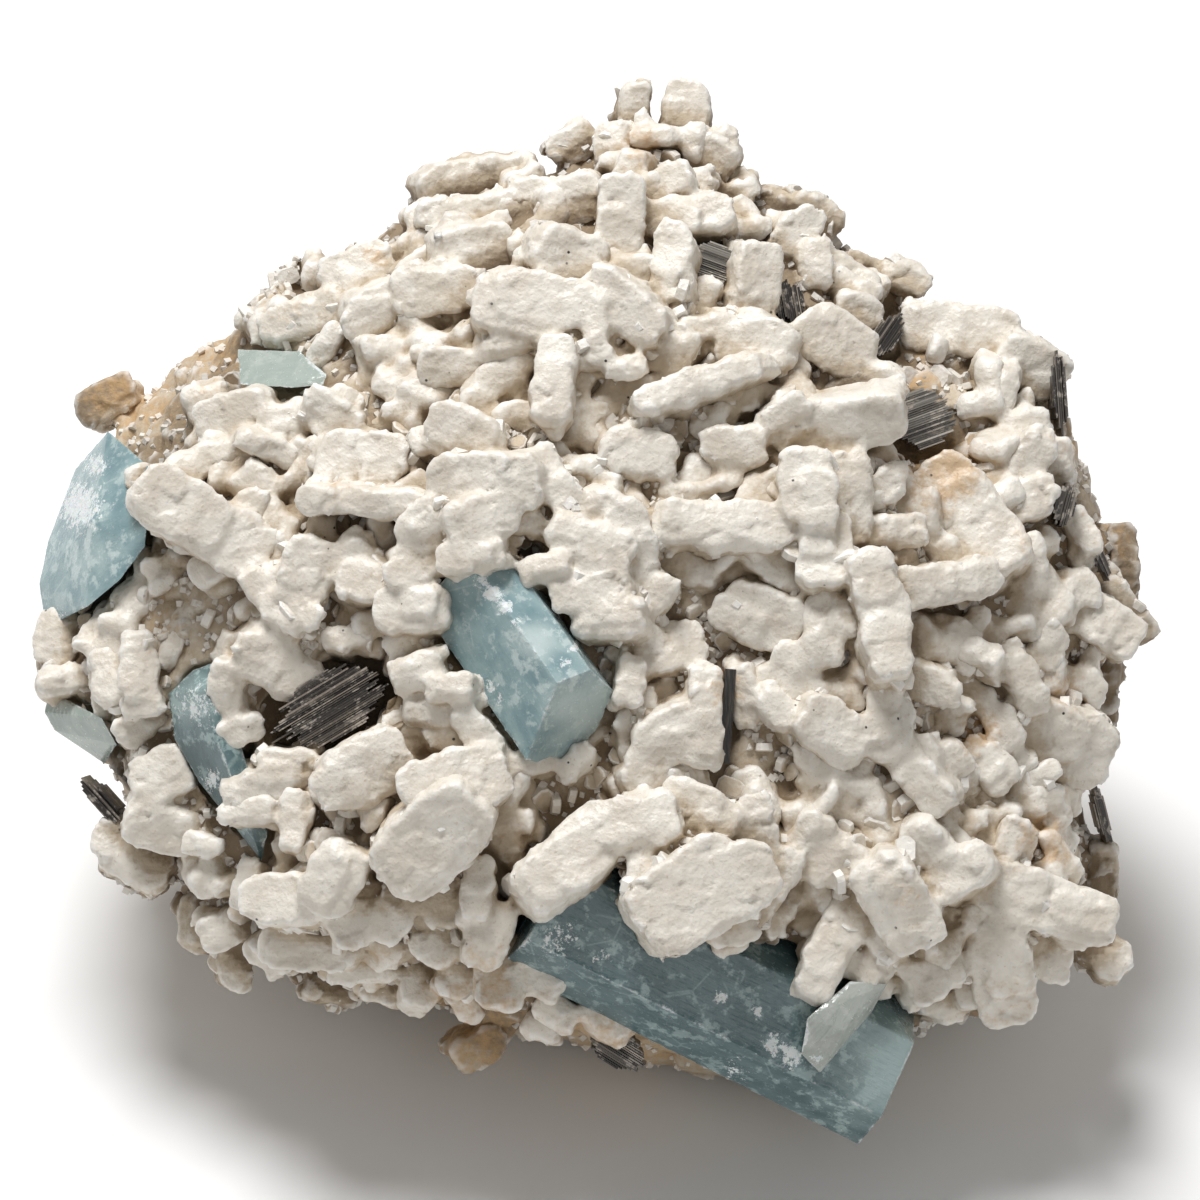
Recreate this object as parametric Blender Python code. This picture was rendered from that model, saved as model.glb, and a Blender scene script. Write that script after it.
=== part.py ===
"""Aquamarine on feldspar: a lump of white feldspar crystals that holds beryl prisms and mica books.

Units are metres and +Z is up. The lump lies on a flat broken base, and its crystal face looks
forward (-Y) and up. Places on that face are read from a square sketch of it, 1200 squares wide and
high, as it is seen from one eye point. Depths are counted from the sketch's plane toward the eye.
"""

import math
import random

import bmesh
import bpy
from mathutils import Matrix, Vector, noise
from mathutils.bvhtree import BVHTree

MM = 0.001

# The sketch of the crystal face
SQUARE = 0.127 * MM
SKETCH_WIDTH = 1200
SKETCH_MIDDLE = (592, 611)
EYE_ELEVATION = math.radians(38)
EYE_DISTANCE = 460 * MM
FACE_MIDDLE = Vector((-0.81, 0.0, 49.0)) * MM

# The lump
RIM_FORWARD = 5.0 * MM
RIM_LEAN = 0.165
DOME_HEIGHT = 26.0 * MM
BACK_DEPTH = 54.0 * MM
BACK_FULLNESS = 2.6
SPOKES = 72
RINGS = 9
ROCK_GRAIN = 8.0 * MM
ROCK_ROUGHNESS = 1.4 * MM
ROCK_SWELL_SIZE = 11.0 * MM
ROCK_FINER = 2.6
ROCK_FINER_SHARE = 0.6
ROCK_FINER_SHIFT = Vector((7, 3, 5))
ROCK_TRIANGLES = 7700

# Fits
SEAM = 0.3 * MM
GROUND_SIZE = 300 * MM

# The edge of the lump behind its rim crystals: across, down
OUTLINE = [
    (640, 118), (698, 126), (728, 172), (795, 218), (842, 262), (888, 300), (925, 334),
    (985, 322), (1040, 345), (1104, 392), (1124, 470), (1118, 545), (1112, 650), (1096, 700),
    (1088, 755), (1088, 905), (1090, 955), (1052, 988), (1022, 1024), (955, 1034), (900, 1020),
    (845, 1062), (792, 1108), (740, 1102), (680, 1094), (620, 1060), (560, 1056), (500, 1046),
    (452, 1030), (400, 990), (335, 988), (240, 965), (214, 925), (190, 878), (148, 862),
    (128, 815), (112, 765), (75, 722), (60, 680), (58, 600), (68, 520), (92, 455),
    (92, 412), (148, 368), (195, 342), (258, 305), (320, 258), (368, 226), (430, 192),
    (500, 176), (560, 156), (604, 146), (622, 126),
]

# Swells and hollows of the crystal face: across, down, reach in squares, height in mm
SWELLS = [
    (560, 290, 110, 4.5), (800, 420, 80, 4.0), (480, 480, 80, 3.0), (205, 520, 60, 3.0),
    (430, 815, 70, 4.5), (690, 890, 60, 4.0), (1050, 890, 70, 4.0), (900, 880, 55, 3.0),
    (310, 890, 55, 3.0), (850, 620, 60, 3.0), (930, 430, 50, -6.0), (715, 650, 55, -7.0),
    (330, 690, 55, -3.5), (190, 615, 50, -4.0), (580, 800, 40, -3.0), (770, 760, 40, -4.0),
]

# Broken faces of the lump, each through three points: across, down, depth from the rim in mm
BROKEN_FACES = [
    ((1062, 350, 5.0), (1082, 545, 8.0), (1126, 470, -24.0)),
    ((150, 470, 10.0), (400, 215, 6.0), (150, 345, -14.0)),
    ((250, 950, 9.0), (620, 1010, 11.0), (430, 1040, -10.0)),
]

# Broken faces at the back: a point in mm and the way each face looks
BACK_FACES = [
    ((0, 51, 55), (0.05, 0.97, 0.24)),
    ((0, 43, 93), (-0.15, 0.55, 0.82)),
    ((52, 33, 50), (0.72, 0.68, 0.12)),
    ((-53, 32, 45), (-0.76, 0.62, -0.18)),
    ((-45, 15, 84), (-0.62, 0.32, 0.72)),
]

# Feldspar crystals by region, in squares of the sketch, heights in mm above the lump:
# across, down, length, breadth, turn in degrees from the across line, height
TOP_CRYSTALS = [
    (632, 112, 52, 34, 90, 1), (686, 122, 50, 46, 80, 1), (576, 146, 44, 42, 40, 1),
    (612, 150, 46, 36, 90, 1), (714, 163, 52, 48, 50, 0), (451, 190, 74, 50, 12, 1),
    (500, 178, 62, 42, 5, 1), (535, 199, 45, 36, 0, 1), (578, 199, 52, 50, 20, 2),
    (620, 228, 92, 46, 88, 3), (685, 222, 96, 42, 5, 2), (675, 186, 46, 36, 20, 2),
    (470, 250, 82, 60, 10, 3), (563, 257, 82, 60, -20, 4), (522, 312, 96, 66, -12, 5),
    (432, 290, 76, 58, 5, 3), (598, 322, 62, 26, 88, 4), (632, 312, 78, 48, -35, 4),
    (676, 276, 66, 42, 80, 3), (555, 385, 92, 42, 86, 5), (507, 349, 46, 28, 10, 3),
    (451, 368, 60, 38, -5, 2), (600, 360, 32, 20, 15, 3), (626, 367, 34, 20, 10, 3),
    (700, 388, 142, 34, 20, 6), (765, 346, 68, 52, -10, 4), (750, 290, 84, 50, 78, 3),
    (783, 244, 56, 42, 60, 1), (783, 206, 62, 38, -15, 0), (706, 328, 62, 28, 5, 3),
    (470, 214, 112, 36, 4, 2), (818, 218, 46, 42, -40, 0), (859, 264, 32, 24, -20, 0),
    (898, 280, 46, 38, -30, 0), (851, 280, 62, 32, -35, 1), (815, 272, 46, 34, 90, 2),
    (831, 346, 78, 64, -32, 3), (877, 384, 52, 42, -20, 2), (378, 314, 66, 60, 30, 2),
    (357, 276, 52, 50, 20, 1), (306, 322, 74, 42, 15, 0), (683, 352, 40, 34, 60, 3),
]
RIGHT_CRYSTALS = [
    (961, 334, 112, 58, -6, 1), (1026, 364, 66, 58, -30, 1), (835, 420, 128, 52, 14, 4),
    (804, 488, 74, 54, 90, 5), (846, 487, 62, 46, 88, 3), (884, 490, 36, 28, 80, 2),
    (823, 555, 70, 52, 88, 4), (975, 525, 104, 66, -58, 1), (938, 583, 108, 42, 8, 5),
    (880, 617, 126, 46, -78, 6), (973, 656, 62, 27, -22, 3), (1019, 682, 72, 34, -64, 3),
    (1042, 650, 42, 38, 60, 1), (1120, 608, 82, 34, -54, 1), (1092, 622, 74, 48, -26, 2),
    (1121, 564, 78, 30, 95, -4), (1024, 459, 58, 40, 70, 1), (1058, 464, 44, 34, 90, 0),
    (1022, 508, 52, 42, 20, 1), (1078, 538, 56, 28, -60, 0), (928, 679, 52, 42, -20, 2),
    (887, 730, 60, 52, 80, 3), (826, 731, 80, 56, -38, 3), (921, 772, 84, 38, -52, 4),
    (950, 758, 38, 30, -50, 2), (1055, 732, 104, 74, -20, 2), (1030, 782, 38, 28, 10, 1),
    (1107, 684, 64, 26, 86, -3), (989, 770, 48, 42, -50, 1), (719, 531, 128, 48, -4, 4),
    (765, 617, 80, 58, -26, 2), (734, 448, 54, 46, 0, 2), (697, 484, 86, 17, 10, 2),
    (640, 456, 64, 54, -14, 3), (747, 693, 62, 27, 95, 2), (775, 707, 50, 36, -50, 2),
    (784, 420, 46, 40, 30, 3), (1000, 392, 40, 26, 80, 1), (877, 534, 92, 36, 5, 1),
]
LEFT_CRYSTALS = [
    (201, 525, 130, 60, -35, 5), (157, 492, 44, 40, 20, 3), (199, 467, 58, 36, 20, 3),
    (252, 510, 46, 36, 60, 1), (237, 416, 72, 42, 16, 3), (265, 446, 64, 27, -25, 3),
    (288, 424, 44, 40, 10, 2), (337, 416, 62, 42, -32, 3), (362, 459, 74, 46, 0, 3),
    (370, 500, 138, 30, -4, 6), (321, 536, 42, 32, 88, 1), (306, 571, 52, 48, 70, 4),
    (265, 584, 46, 34, -42, 3), (291, 613, 52, 40, -30, 4), (352, 563, 58, 46, 60, 2),
    (376, 585, 52, 40, -10, 3), (352, 642, 48, 25, 2, 1), (258, 634, 34, 32, 40, 2),
    (281, 668, 82, 50, -25, 2), (230, 681, 48, 30, 80, 3), (224, 643, 32, 20, 68, 1),
    (138, 664, 60, 34, 88, 2), (111, 682, 58, 30, 100, 1), (62, 640, 56, 44, 80, 0),
    (70, 682, 56, 30, 10, 1), (135, 730, 38, 34, 30, 1), (238, 726, 46, 30, 12, 2),
    (288, 766, 60, 42, 0, 2), (255, 788, 52, 34, 10, 3), (367, 770, 72, 66, 30, 4),
    (166, 778, 56, 46, 20, 1), (163, 820, 78, 54, -15, 2), (138, 862, 72, 58, -30, 1),
    (340, 418, 50, 30, 60, 2), (110, 402, 56, 40, 30, -10), (150, 700, 36, 28, 20, 1),
]
MIDDLE_CRYSTALS = [
    (471, 438, 78, 56, -22, 3), (489, 484, 92, 56, 4, 5), (477, 522, 68, 52, 15, 6),
    (479, 556, 58, 34, 8, 6.5), (428, 524, 48, 42, 45, 5), (431, 446, 38, 32, 10, 2),
    (525, 525, 28, 28, 5, 3), (586, 471, 44, 26, -5, 2), (553, 484, 64, 36, -60, 4),
    (598, 506, 44, 42, 10, 4), (591, 547, 78, 46, -30, 5), (632, 539, 68, 42, 100, 4),
    (602, 586, 62, 42, 15, 5), (612, 621, 72, 42, 4, 5), (548, 571, 44, 28, 12, 5),
    (655, 594, 42, 36, 50, 3), (665, 656, 58, 48, 10, 3), (630, 684, 46, 28, 80, 3),
    (702, 720, 92, 34, 88, 4), (666, 730, 62, 52, 30, 3), (579, 766, 30, 28, 45, 2),
    (515, 764, 76, 27, 6, 1.5), (480, 733, 50, 32, -50, 3), (420, 671, 54, 40, 15, 4),
    (454, 692, 46, 30, 4, 5), (438, 712, 62, 30, -4, 2), (415, 566, 48, 42, 20, 4),
    (415, 610, 50, 46, 0, 4), (464, 785, 88, 60, 15, 3.4), (642, 775, 50, 44, 40, 2),
]
LOWER_CRYSTALS = [
    (438, 834, 88, 76, 45, 5), (566, 868, 98, 56, 40, 8), (631, 828, 84, 54, 14, 6),
    (645, 866, 44, 26, 88, 5), (706, 812, 64, 38, -20, 3), (755, 834, 62, 44, 100, 3),
    (688, 898, 104, 86, 30, 6.2), (732, 925, 46, 36, 10, 4), (765, 884, 66, 40, 58, 3),
    (446, 900, 46, 38, 88, 3), (479, 890, 50, 32, 90, 6), (446, 938, 54, 46, 60, 3),
    (489, 934, 54, 44, 70, 6), (459, 972, 50, 42, 80, 2), (499, 974, 54, 44, 98, 3),
    (534, 969, 56, 36, -42, 2), (558, 1012, 42, 32, -30, 1), (599, 1018, 50, 32, -36, 1),
    (420, 982, 46, 36, 80, 2), (829, 949, 108, 42, 66, 5), (860, 964, 64, 32, -30, 5),
    (898, 898, 90, 60, -60, 4), (882, 940, 54, 42, -60, 3), (925, 838, 52, 38, -50, 3),
    (963, 871, 56, 46, 32, 4), (1012, 843, 52, 38, 68, 2), (1045, 904, 134, 56, -18, 4),
    (1103, 955, 56, 44, -44, 2), (1045, 950, 48, 44, 80, 2), (1000, 955, 94, 58, -80, 3),
    (916, 972, 66, 46, -70, 3), (945, 966, 46, 32, -70, 2), (810, 838, 50, 44, 60, 2),
    (843, 861, 50, 42, 50, 2), (301, 903, 78, 50, 5, 4), (337, 876, 74, 56, 60, 5),
    (358, 915, 64, 48, 24, 4), (306, 943, 64, 42, -10, 2), (367, 966, 68, 34, 3, 1),
    (199, 920, 54, 42, 88, 0), (230, 922, 54, 38, 20, 1), (232, 962, 46, 36, 98, 0),
    (253, 886, 42, 26, 75, 3), (298, 826, 48, 30, 80, 3), (255, 812, 52, 30, 4, 4),
    (395, 905, 50, 42, 60, 3), (330, 984, 60, 44, -10, -4), (476, 1046, 52, 40, 30, -3),
    (1098, 872, 70, 30, 86, -2), (385, 985, 60, 32, -8, 0),
]
CRYSTALS = TOP_CRYSTALS + RIGHT_CRYSTALS + LEFT_CRYSTALS + MIDDLE_CRYSTALS + LOWER_CRYSTALS
CRYSTAL_FLATNESS = 0.62
CRYSTAL_THINNEST = 26
CRYSTAL_ROOT = 3.0 * MM
CRYSTAL_SUNK_SHARE = 0.35
CRYSTAL_TILT = 14
CRYSTAL_TAPER = (0.7, 1.0)

# Blocky lumps on the hidden sides, sizes in mm
BACK_LUMPS = 30
BACK_SEED = 12
GOLDEN_ANGLE = math.pi * (3 - math.sqrt(5))
BACK_LUMP_SIZES = (10.0, 21.0)
BACK_LUMP_THICKNESS = 7.0 * MM
BACK_LUMP_DEPTH = 1.5 * MM
BASE_CLEARANCE = 12.0 * MM

# Six-sided beryl prisms. Middle is where the axis meets the end: across, down and height above the
# lump in mm; turn is the axis' direction on the sketch and lean its rise toward the eye, in degrees.
# Section is the six corners round the axis in mm, sideways and toward the eye. Each end face is the
# way it looks, sideways, along and toward the eye, and its distance from the middle in mm.
PRISMS = {
    "aquamarine_centre": {
        "middle": (565, 721, 4.0), "turn": -54.8, "lean": 16, "length": 22.0,
        "section": [
            (-6.4, 0.0), (1.9, 5.2), (5.9, 2.85), (6.65, -2.4), (2.4, -4.9), (-3.5, -5.2),
        ],
        "ends": [((0.188, 1.0, 0.475), 0.0)],
    },
    "aquamarine_long": {
        "middle": (892, 1072, 6.0), "turn": -27.5, "lean": -9, "length": 49.0,
        "section": [
            (5.0, 8.3), (9.7, -0.2), (4.7, -8.5), (-5.0, -8.3), (-9.7, 0.2), (-4.7, 8.5),
        ],
        "ends": [((0.05, 1.0, 0.16), 0.0), ((0.918, 0.393, 0.25), 5.6)],
    },
}

# Beryl crystals that are broken or half buried, each by the corners of its hull:
# across, down, height above the lump in mm
FRAGMENTS = {
    "aquamarine_left": [
        (108, 431, 1), (130, 450, 2), (153, 470, 2.5), (139, 511, 3), (145, 547, 3), (120, 580, 3),
        (87, 607, 3), (75, 469, 0), (48, 541, 0), (39, 584, 0), (45, 628, 0), (92, 520, 4.5),
        (100, 470, -14), (62, 560, -16), (75, 612, -14), (128, 560, -12), (138, 490, -12),
    ],
    "aquamarine_leaning": [
        (216, 661, 1), (192, 670, 1.5), (168, 694, 1), (174, 739, 1), (198, 781, 0.5),
        (225, 814, 0.5), (262, 862, 0), (205, 690, 4.5), (218, 745, 4.5), (240, 800, 3),
        (240, 742, 2), (268, 832, 1), (205, 700, -7), (225, 780, -7),
    ],
    "beryl_pale_lower": [
        (48, 695, 0), (63, 697, 2), (102, 718, 2.5), (117, 745, 2), (105, 764, 1), (54, 730, 0),
        (44, 712, 0), (72, 706, -13), (105, 735, -13), (84, 748, -12),
    ],
    "beryl_pale_upper": [
        (237, 349, 2.5), (300, 351, 3), (327, 374, 3), (324, 385, 2.5), (290, 388, 3),
        (240, 385, 2.5), (250, 356, -5), (312, 378, -5),
    ],
    "quartz_across": [
        (850, 981, 7.5), (887, 984, 8.5), (872, 1012, 10), (820, 1073, 14), (801, 1054, 11),
        (807, 1018, 9.5), (845, 1030, 12.5), (852, 985, -3), (885, 988, -3), (818, 1068, 8),
        (806, 1050, 5), (812, 1022, 3),
    ],
}
LIES_ON = {"quartz_across": "aquamarine_long"}

# Mica books: middle across and down, height above the lump in mm, then length across the leaves'
# edges and breadth in squares, turn in degrees, thickness in mm and the number of leaves
BOOKS = {
    "mica_book_main": (331, 704, 1.5, 118, 62, 31, 5.0, 6),
    "mica_book_grey": (922, 418, 3.0, 62, 56, 20, 5.0, 4),
    "mica_book_notch": (884, 336, 1.0, 52, 26, 56, 4.0, 3),
    "mica_book_recess": (787, 302, 1.0, 44, 34, -80, 4.0, 3),
    "mica_book_top": (714, 262, 1.0, 58, 36, -20, 4.0, 4),
    "mica_leaf_right": (1058, 392, 1.5, 88, 14, -86, 6.0, 2),
    "mica_book_side": (1063, 504, 1.5, 46, 20, 75, 4.0, 3),
    "mica_leaf_side": (1098, 556, 1.0, 50, 12, -66, 5.0, 2),
    "mica_book_base": (618, 1046, 1.0, 66, 34, -32, 5.0, 4),
    "mica_leaf_left": (106, 800, 0.5, 62, 16, -48, 8.0, 2),
    "schorl_needle": (727, 718, 0.5, 96, 10, 86, 2.6, 1),
    "mica_leaf_lower": (1100, 812, 0.5, 62, 12, -76, 5.0, 2),
}
BOOK_BULGE = 0.72
BOOK_LEAF_REACH = (0.86, 1.0)
BOOK_FRONT_SHARE = 0.4

EYE_WAY = Vector((0.0, -math.cos(EYE_ELEVATION), math.sin(EYE_ELEVATION)))
SKETCH_UP = Vector((0.0, math.sin(EYE_ELEVATION), math.cos(EYE_ELEVATION)))
SKETCH_ACROSS = Vector((1.0, 0.0, 0.0))
EYE = FACE_MIDDLE + EYE_WAY * EYE_DISTANCE


def clear_scene():
    for thing in list(bpy.data.objects):
        bpy.data.objects.remove(thing, do_unlink=True)


def material(name, colour, roughness):
    """A plain Principled finish for one kind of mineral."""
    made = bpy.data.materials.new(name)
    made.use_nodes = True
    shader = made.node_tree.nodes["Principled BSDF"]
    shader.inputs["Base Color"].default_value = (*colour, 1.0)
    shader.inputs["Roughness"].default_value = roughness
    shader.inputs["Metallic"].default_value = 0.0
    return made


def spot(across, down, depth):
    """The point behind a square of the sketch, this far in front of the sketch's plane."""
    sideways = SKETCH_ACROSS * (across - SKETCH_MIDDLE[0]) * SQUARE
    upward = SKETCH_UP * (SKETCH_MIDDLE[1] - down) * SQUARE
    on_plane = FACE_MIDDLE + sideways + upward
    return EYE + (on_plane - EYE) * (1 - depth / EYE_DISTANCE)


def outline_reach(direction):
    """How far the outline lies from the sketch's middle along a unit direction, in squares."""
    middle = Vector(SKETCH_MIDDLE)
    for start, end in zip(OUTLINE, OUTLINE[1:] + OUTLINE[:1]):
        a = Vector(start) - middle
        edge = Vector(end) - Vector(start)
        cross = direction.x * edge.y - direction.y * edge.x
        if abs(cross) < 1e-9:
            continue
        along = (a.x * edge.y - a.y * edge.x) / cross
        share = (a.x * direction.y - a.y * direction.x) / cross
        if along > 0 and 0 <= share <= 1:
            return along
    return 0.0


def rim_depth(down):
    """The depth of the lump's rim, which leans back toward the top."""
    return RIM_FORWARD + (down - SKETCH_MIDDLE[1]) * SQUARE * RIM_LEAN


def ground(across, down):
    """The depth of the lump's front at a square of the sketch, or of its rim outside it."""
    offset = Vector((across, down)) - Vector(SKETCH_MIDDLE)
    share = 0.0
    if offset.length > 0:
        share = min(1.0, offset.length / outline_reach(offset.normalized()))
    height = DOME_HEIGHT * math.sqrt(1 - share * share)
    for x, y, reach, swell in SWELLS:
        near = ((across - x) ** 2 + (down - y) ** 2) / reach**2
        height += swell * MM * math.exp(-near) * (1 - share**8)
    return rim_depth(down) + height


def cut_flat(mesh, point, way):
    """Takes off all that lies beyond a plane and closes the cut with one face."""
    geometry = mesh.verts[:] + mesh.edges[:] + mesh.faces[:]
    cut = bmesh.ops.bisect_plane(
        mesh, geom=geometry, plane_co=point, plane_no=way, clear_outer=True, dist=1e-7
    )
    edges = [e for e in cut["geom_cut"] if isinstance(e, bmesh.types.BMEdge)]
    bmesh.ops.edgeloop_fill(mesh, edges=edges)


def solid(name, mesh, finish=None):
    """A new object from a bmesh, with its faces pointing out."""
    bmesh.ops.recalc_face_normals(mesh, faces=mesh.faces)
    bmesh.ops.triangulate(mesh, faces=mesh.faces)
    data = bpy.data.meshes.new(name)
    mesh.to_mesh(data)
    mesh.free()
    made = bpy.data.objects.new(name, data)
    bpy.context.collection.objects.link(made)
    if finish:
        data.materials.append(finish)
    return made


def apply_modifiers(thing):
    """Replaces the object's mesh by the one that its modifiers make."""
    bpy.context.view_layer.update()
    graph = bpy.context.evaluated_depsgraph_get()
    data = bpy.data.meshes.new_from_object(thing.evaluated_get(graph))
    thing.modifiers.clear()
    thing.data = data


def lump():
    """The plain lump: a dome toward the eye, a deeper back, and its broken faces."""
    mesh = bmesh.new()
    middle = Vector(SKETCH_MIDDLE)
    spokes = []
    for i in range(SPOKES):
        angle = math.tau * i / SPOKES
        way = Vector((math.cos(angle), math.sin(angle)))
        spokes.append(way * outline_reach(way))
    loops = []
    for ring in range(2 * RINGS - 1):
        share = math.cos(math.pi / 2 * abs(ring - RINGS + 1) / RINGS)
        loop = []
        for spoke in spokes:
            across, down = middle + spoke * share
            depth = ground(across, down)
            if ring >= RINGS:
                fall = (1 - share**BACK_FULLNESS) ** (1 / BACK_FULLNESS)
                depth = rim_depth(down) - BACK_DEPTH * fall
            loop.append(mesh.verts.new(spot(across, down, depth)))
        loops.append(loop)
    for near, far in zip(loops, loops[1:]):
        for i in range(SPOKES):
            j = (i + 1) % SPOKES
            mesh.faces.new((near[i], near[j], far[j], far[i]))
    front_pole = mesh.verts.new(spot(*middle, ground(*middle)))
    back_pole = mesh.verts.new(spot(*middle, rim_depth(middle[1]) - BACK_DEPTH))
    for i in range(SPOKES):
        j = (i + 1) % SPOKES
        mesh.faces.new((loops[0][j], loops[0][i], front_pole))
        mesh.faces.new((loops[-1][i], loops[-1][j], back_pole))
    bmesh.ops.recalc_face_normals(mesh, faces=mesh.faces)
    for corners in BROKEN_FACES:
        a, b, c = (spot(x, y, rim_depth(y) + out * MM) for x, y, out in corners)
        way = (b - a).cross(c - a).normalized()
        if way.dot(FACE_MIDDLE - a) > 0:
            way.negate()
        cut_flat(mesh, a, way)
    for point, way in BACK_FACES:
        cut_flat(mesh, Vector(point) * MM, Vector(way).normalized())
    made = solid("feldspar_matrix", mesh)
    remesh = made.modifiers.new("grain", "REMESH")
    remesh.mode = "VOXEL"
    remesh.voxel_size = ROCK_GRAIN
    apply_modifiers(made)
    roughen(made)
    return made


def roughen(thing):
    """Makes the broken rock uneven."""
    mesh = bmesh.new()
    mesh.from_mesh(thing.data)
    moves = []
    for vertex in mesh.verts:
        place = vertex.co / ROCK_SWELL_SIZE
        coarse = noise.noise(place)
        fine = noise.noise(place * ROCK_FINER + ROCK_FINER_SHIFT)
        moves.append(vertex.normal * (coarse + ROCK_FINER_SHARE * fine) * ROCK_ROUGHNESS)
    for vertex, move in zip(mesh.verts, moves):
        vertex.co += move
    bmesh.ops.triangulate(mesh, faces=mesh.faces)
    mesh.to_mesh(thing.data)
    mesh.free()


def block(place, axes, size, chance):
    """One blocky crystal with flat faces, narrower at its far end."""
    length, breadth, thickness = size
    narrow = chance.uniform(*CRYSTAL_TAPER)
    thin = chance.uniform(*CRYSTAL_TAPER)
    mesh = bmesh.new()
    ends = []
    for x, wide, thick in ((-0.5, 1.0, 1.0), (0.5, narrow, thin)):
        end = []
        for y, z in ((-0.5, -0.5), (0.5, -0.5), (0.5, 0.5), (-0.5, 0.5)):
            corner = axes[0] * x * length
            corner += axes[1] * y * wide * breadth
            corner += axes[2] * z * thick * thickness
            end.append(mesh.verts.new(place + corner))
        ends.append(end)
    near, far = ends
    mesh.faces.new(near[::-1])
    mesh.faces.new(far)
    for i in range(4):
        j = (i + 1) % 4
        mesh.faces.new((near[i], near[j], far[j], far[i]))
    return solid("block", mesh)


def sketch_axes(turn, lean, roll=0.0):
    """Length, breadth and thickness ways for a turn on the sketch and a lean toward the eye."""
    flat = SKETCH_ACROSS * math.cos(turn) + SKETCH_UP * math.sin(turn)
    side = SKETCH_UP * math.cos(turn) - SKETCH_ACROSS * math.sin(turn)
    along = flat * math.cos(lean) + EYE_WAY * math.sin(lean)
    out = EYE_WAY * math.cos(lean) - flat * math.sin(lean)
    turned = Matrix.Rotation(roll, 3, along)
    return along, turned @ side, turned @ out


def face_crystals():
    """Makes the crystals that stand on the face of the lump, one after the other."""
    for across, down, length, breadth, turn, height in CRYSTALS:
        chance = random.Random(across * SKETCH_WIDTH + down)
        lean = math.radians(chance.uniform(-CRYSTAL_TILT, CRYSTAL_TILT))
        roll = math.radians(chance.uniform(-CRYSTAL_TILT, CRYSTAL_TILT))
        axes = sketch_axes(math.radians(turn), lean, roll)
        thickness = max(breadth * CRYSTAL_FLATNESS, CRYSTAL_THINNEST) * SQUARE + CRYSTAL_ROOT
        depth = ground(across, down) + height * MM - thickness * CRYSTAL_SUNK_SHARE
        size = (length * SQUARE, breadth * SQUARE, thickness)
        yield block(spot(across, down, depth), axes, size, chance)


def back_lumps(rock):
    """Makes blocky cleavage lumps, spread evenly and half sunk in the sides and the back."""
    chance = random.Random(BACK_SEED)
    surface = BVHTree.FromPolygons(
        [vertex.co for vertex in rock.data.vertices],
        [face.vertices for face in rock.data.polygons],
    )
    for i in range(BACK_LUMPS):
        away = (i + 0.5) / BACK_LUMPS
        angle = i * GOLDEN_ANGLE
        sideways = SKETCH_ACROSS * math.cos(angle) + SKETCH_UP * math.sin(angle)
        way = sideways * math.sqrt(1 - away * away) - EYE_WAY * away
        length, breadth = (chance.uniform(*BACK_LUMP_SIZES) * MM for _ in range(2))
        centre, normal, _, _ = surface.ray_cast(FACE_MIDDLE, way)
        along = normal.orthogonal().normalized()
        along.rotate(Matrix.Rotation(chance.uniform(0, math.tau), 3, normal))
        axes = (along, normal.cross(along), normal)
        place = centre - normal * BACK_LUMP_DEPTH
        if place.z > BASE_CLEARANCE:
            yield block(place, axes, (length, breadth, BACK_LUMP_THICKNESS), chance)


def prism(name, grow=0.0, finish=None):
    """A six-sided prism with slanting end faces, or its pocket if it is grown."""
    shape = PRISMS[name]
    across, down, height = shape["middle"]
    along, side, out = sketch_axes(math.radians(shape["turn"]), math.radians(shape["lean"]))
    middle = spot(across, down, ground(across, down) + height * MM)
    length = shape["length"] * MM
    section = shape["section"]
    mesh = bmesh.new()
    rings = []
    for reach in (-length, length):
        place = middle + along * reach
        rings.append([mesh.verts.new(place + (side * x + out * y) * MM) for x, y in section])
    mesh.faces.new(rings[0][::-1])
    mesh.faces.new(rings[1])
    for i in range(len(section)):
        j = (i + 1) % len(section)
        mesh.faces.new((rings[0][i], rings[0][j], rings[1][j], rings[1][i]))
    for (sideways, onward, eyeward), distance in shape["ends"]:
        way = (side * sideways + along * onward + out * eyeward).normalized()
        cut_flat(mesh, middle + way * distance * MM, way)
    bmesh.ops.recalc_face_normals(mesh, faces=mesh.faces)
    return solid(name, grown(mesh, grow), finish)


def fragment(name, grow=0.0, finish=None):
    """A broken crystal: the flat-faced hull of its corners, or its pocket if it is grown."""
    mesh = bmesh.new()
    for across, down, height in FRAGMENTS[name]:
        mesh.verts.new(spot(across, down, ground(across, down) + height * MM))
    hull = bmesh.ops.convex_hull(mesh, input=mesh.verts)
    spare = [v for v in hull["geom_interior"] if isinstance(v, bmesh.types.BMVert)]
    bmesh.ops.delete(mesh, geom=spare, context="VERTS")
    bmesh.ops.recalc_face_normals(mesh, faces=mesh.faces)
    return solid(name, grown(mesh, grow), finish)


def grown(mesh, grow):
    """The convex body with every face moved out by grow."""
    if grow == 0:
        return mesh
    planes = [(face.calc_center_median(), face.normal.copy()) for face in mesh.faces]
    mesh.free()
    larger = bmesh.new()
    bmesh.ops.create_cube(larger, size=GROUND_SIZE)
    for point, way in planes:
        cut_flat(larger, point + way * grow, way)
    return larger


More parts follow.
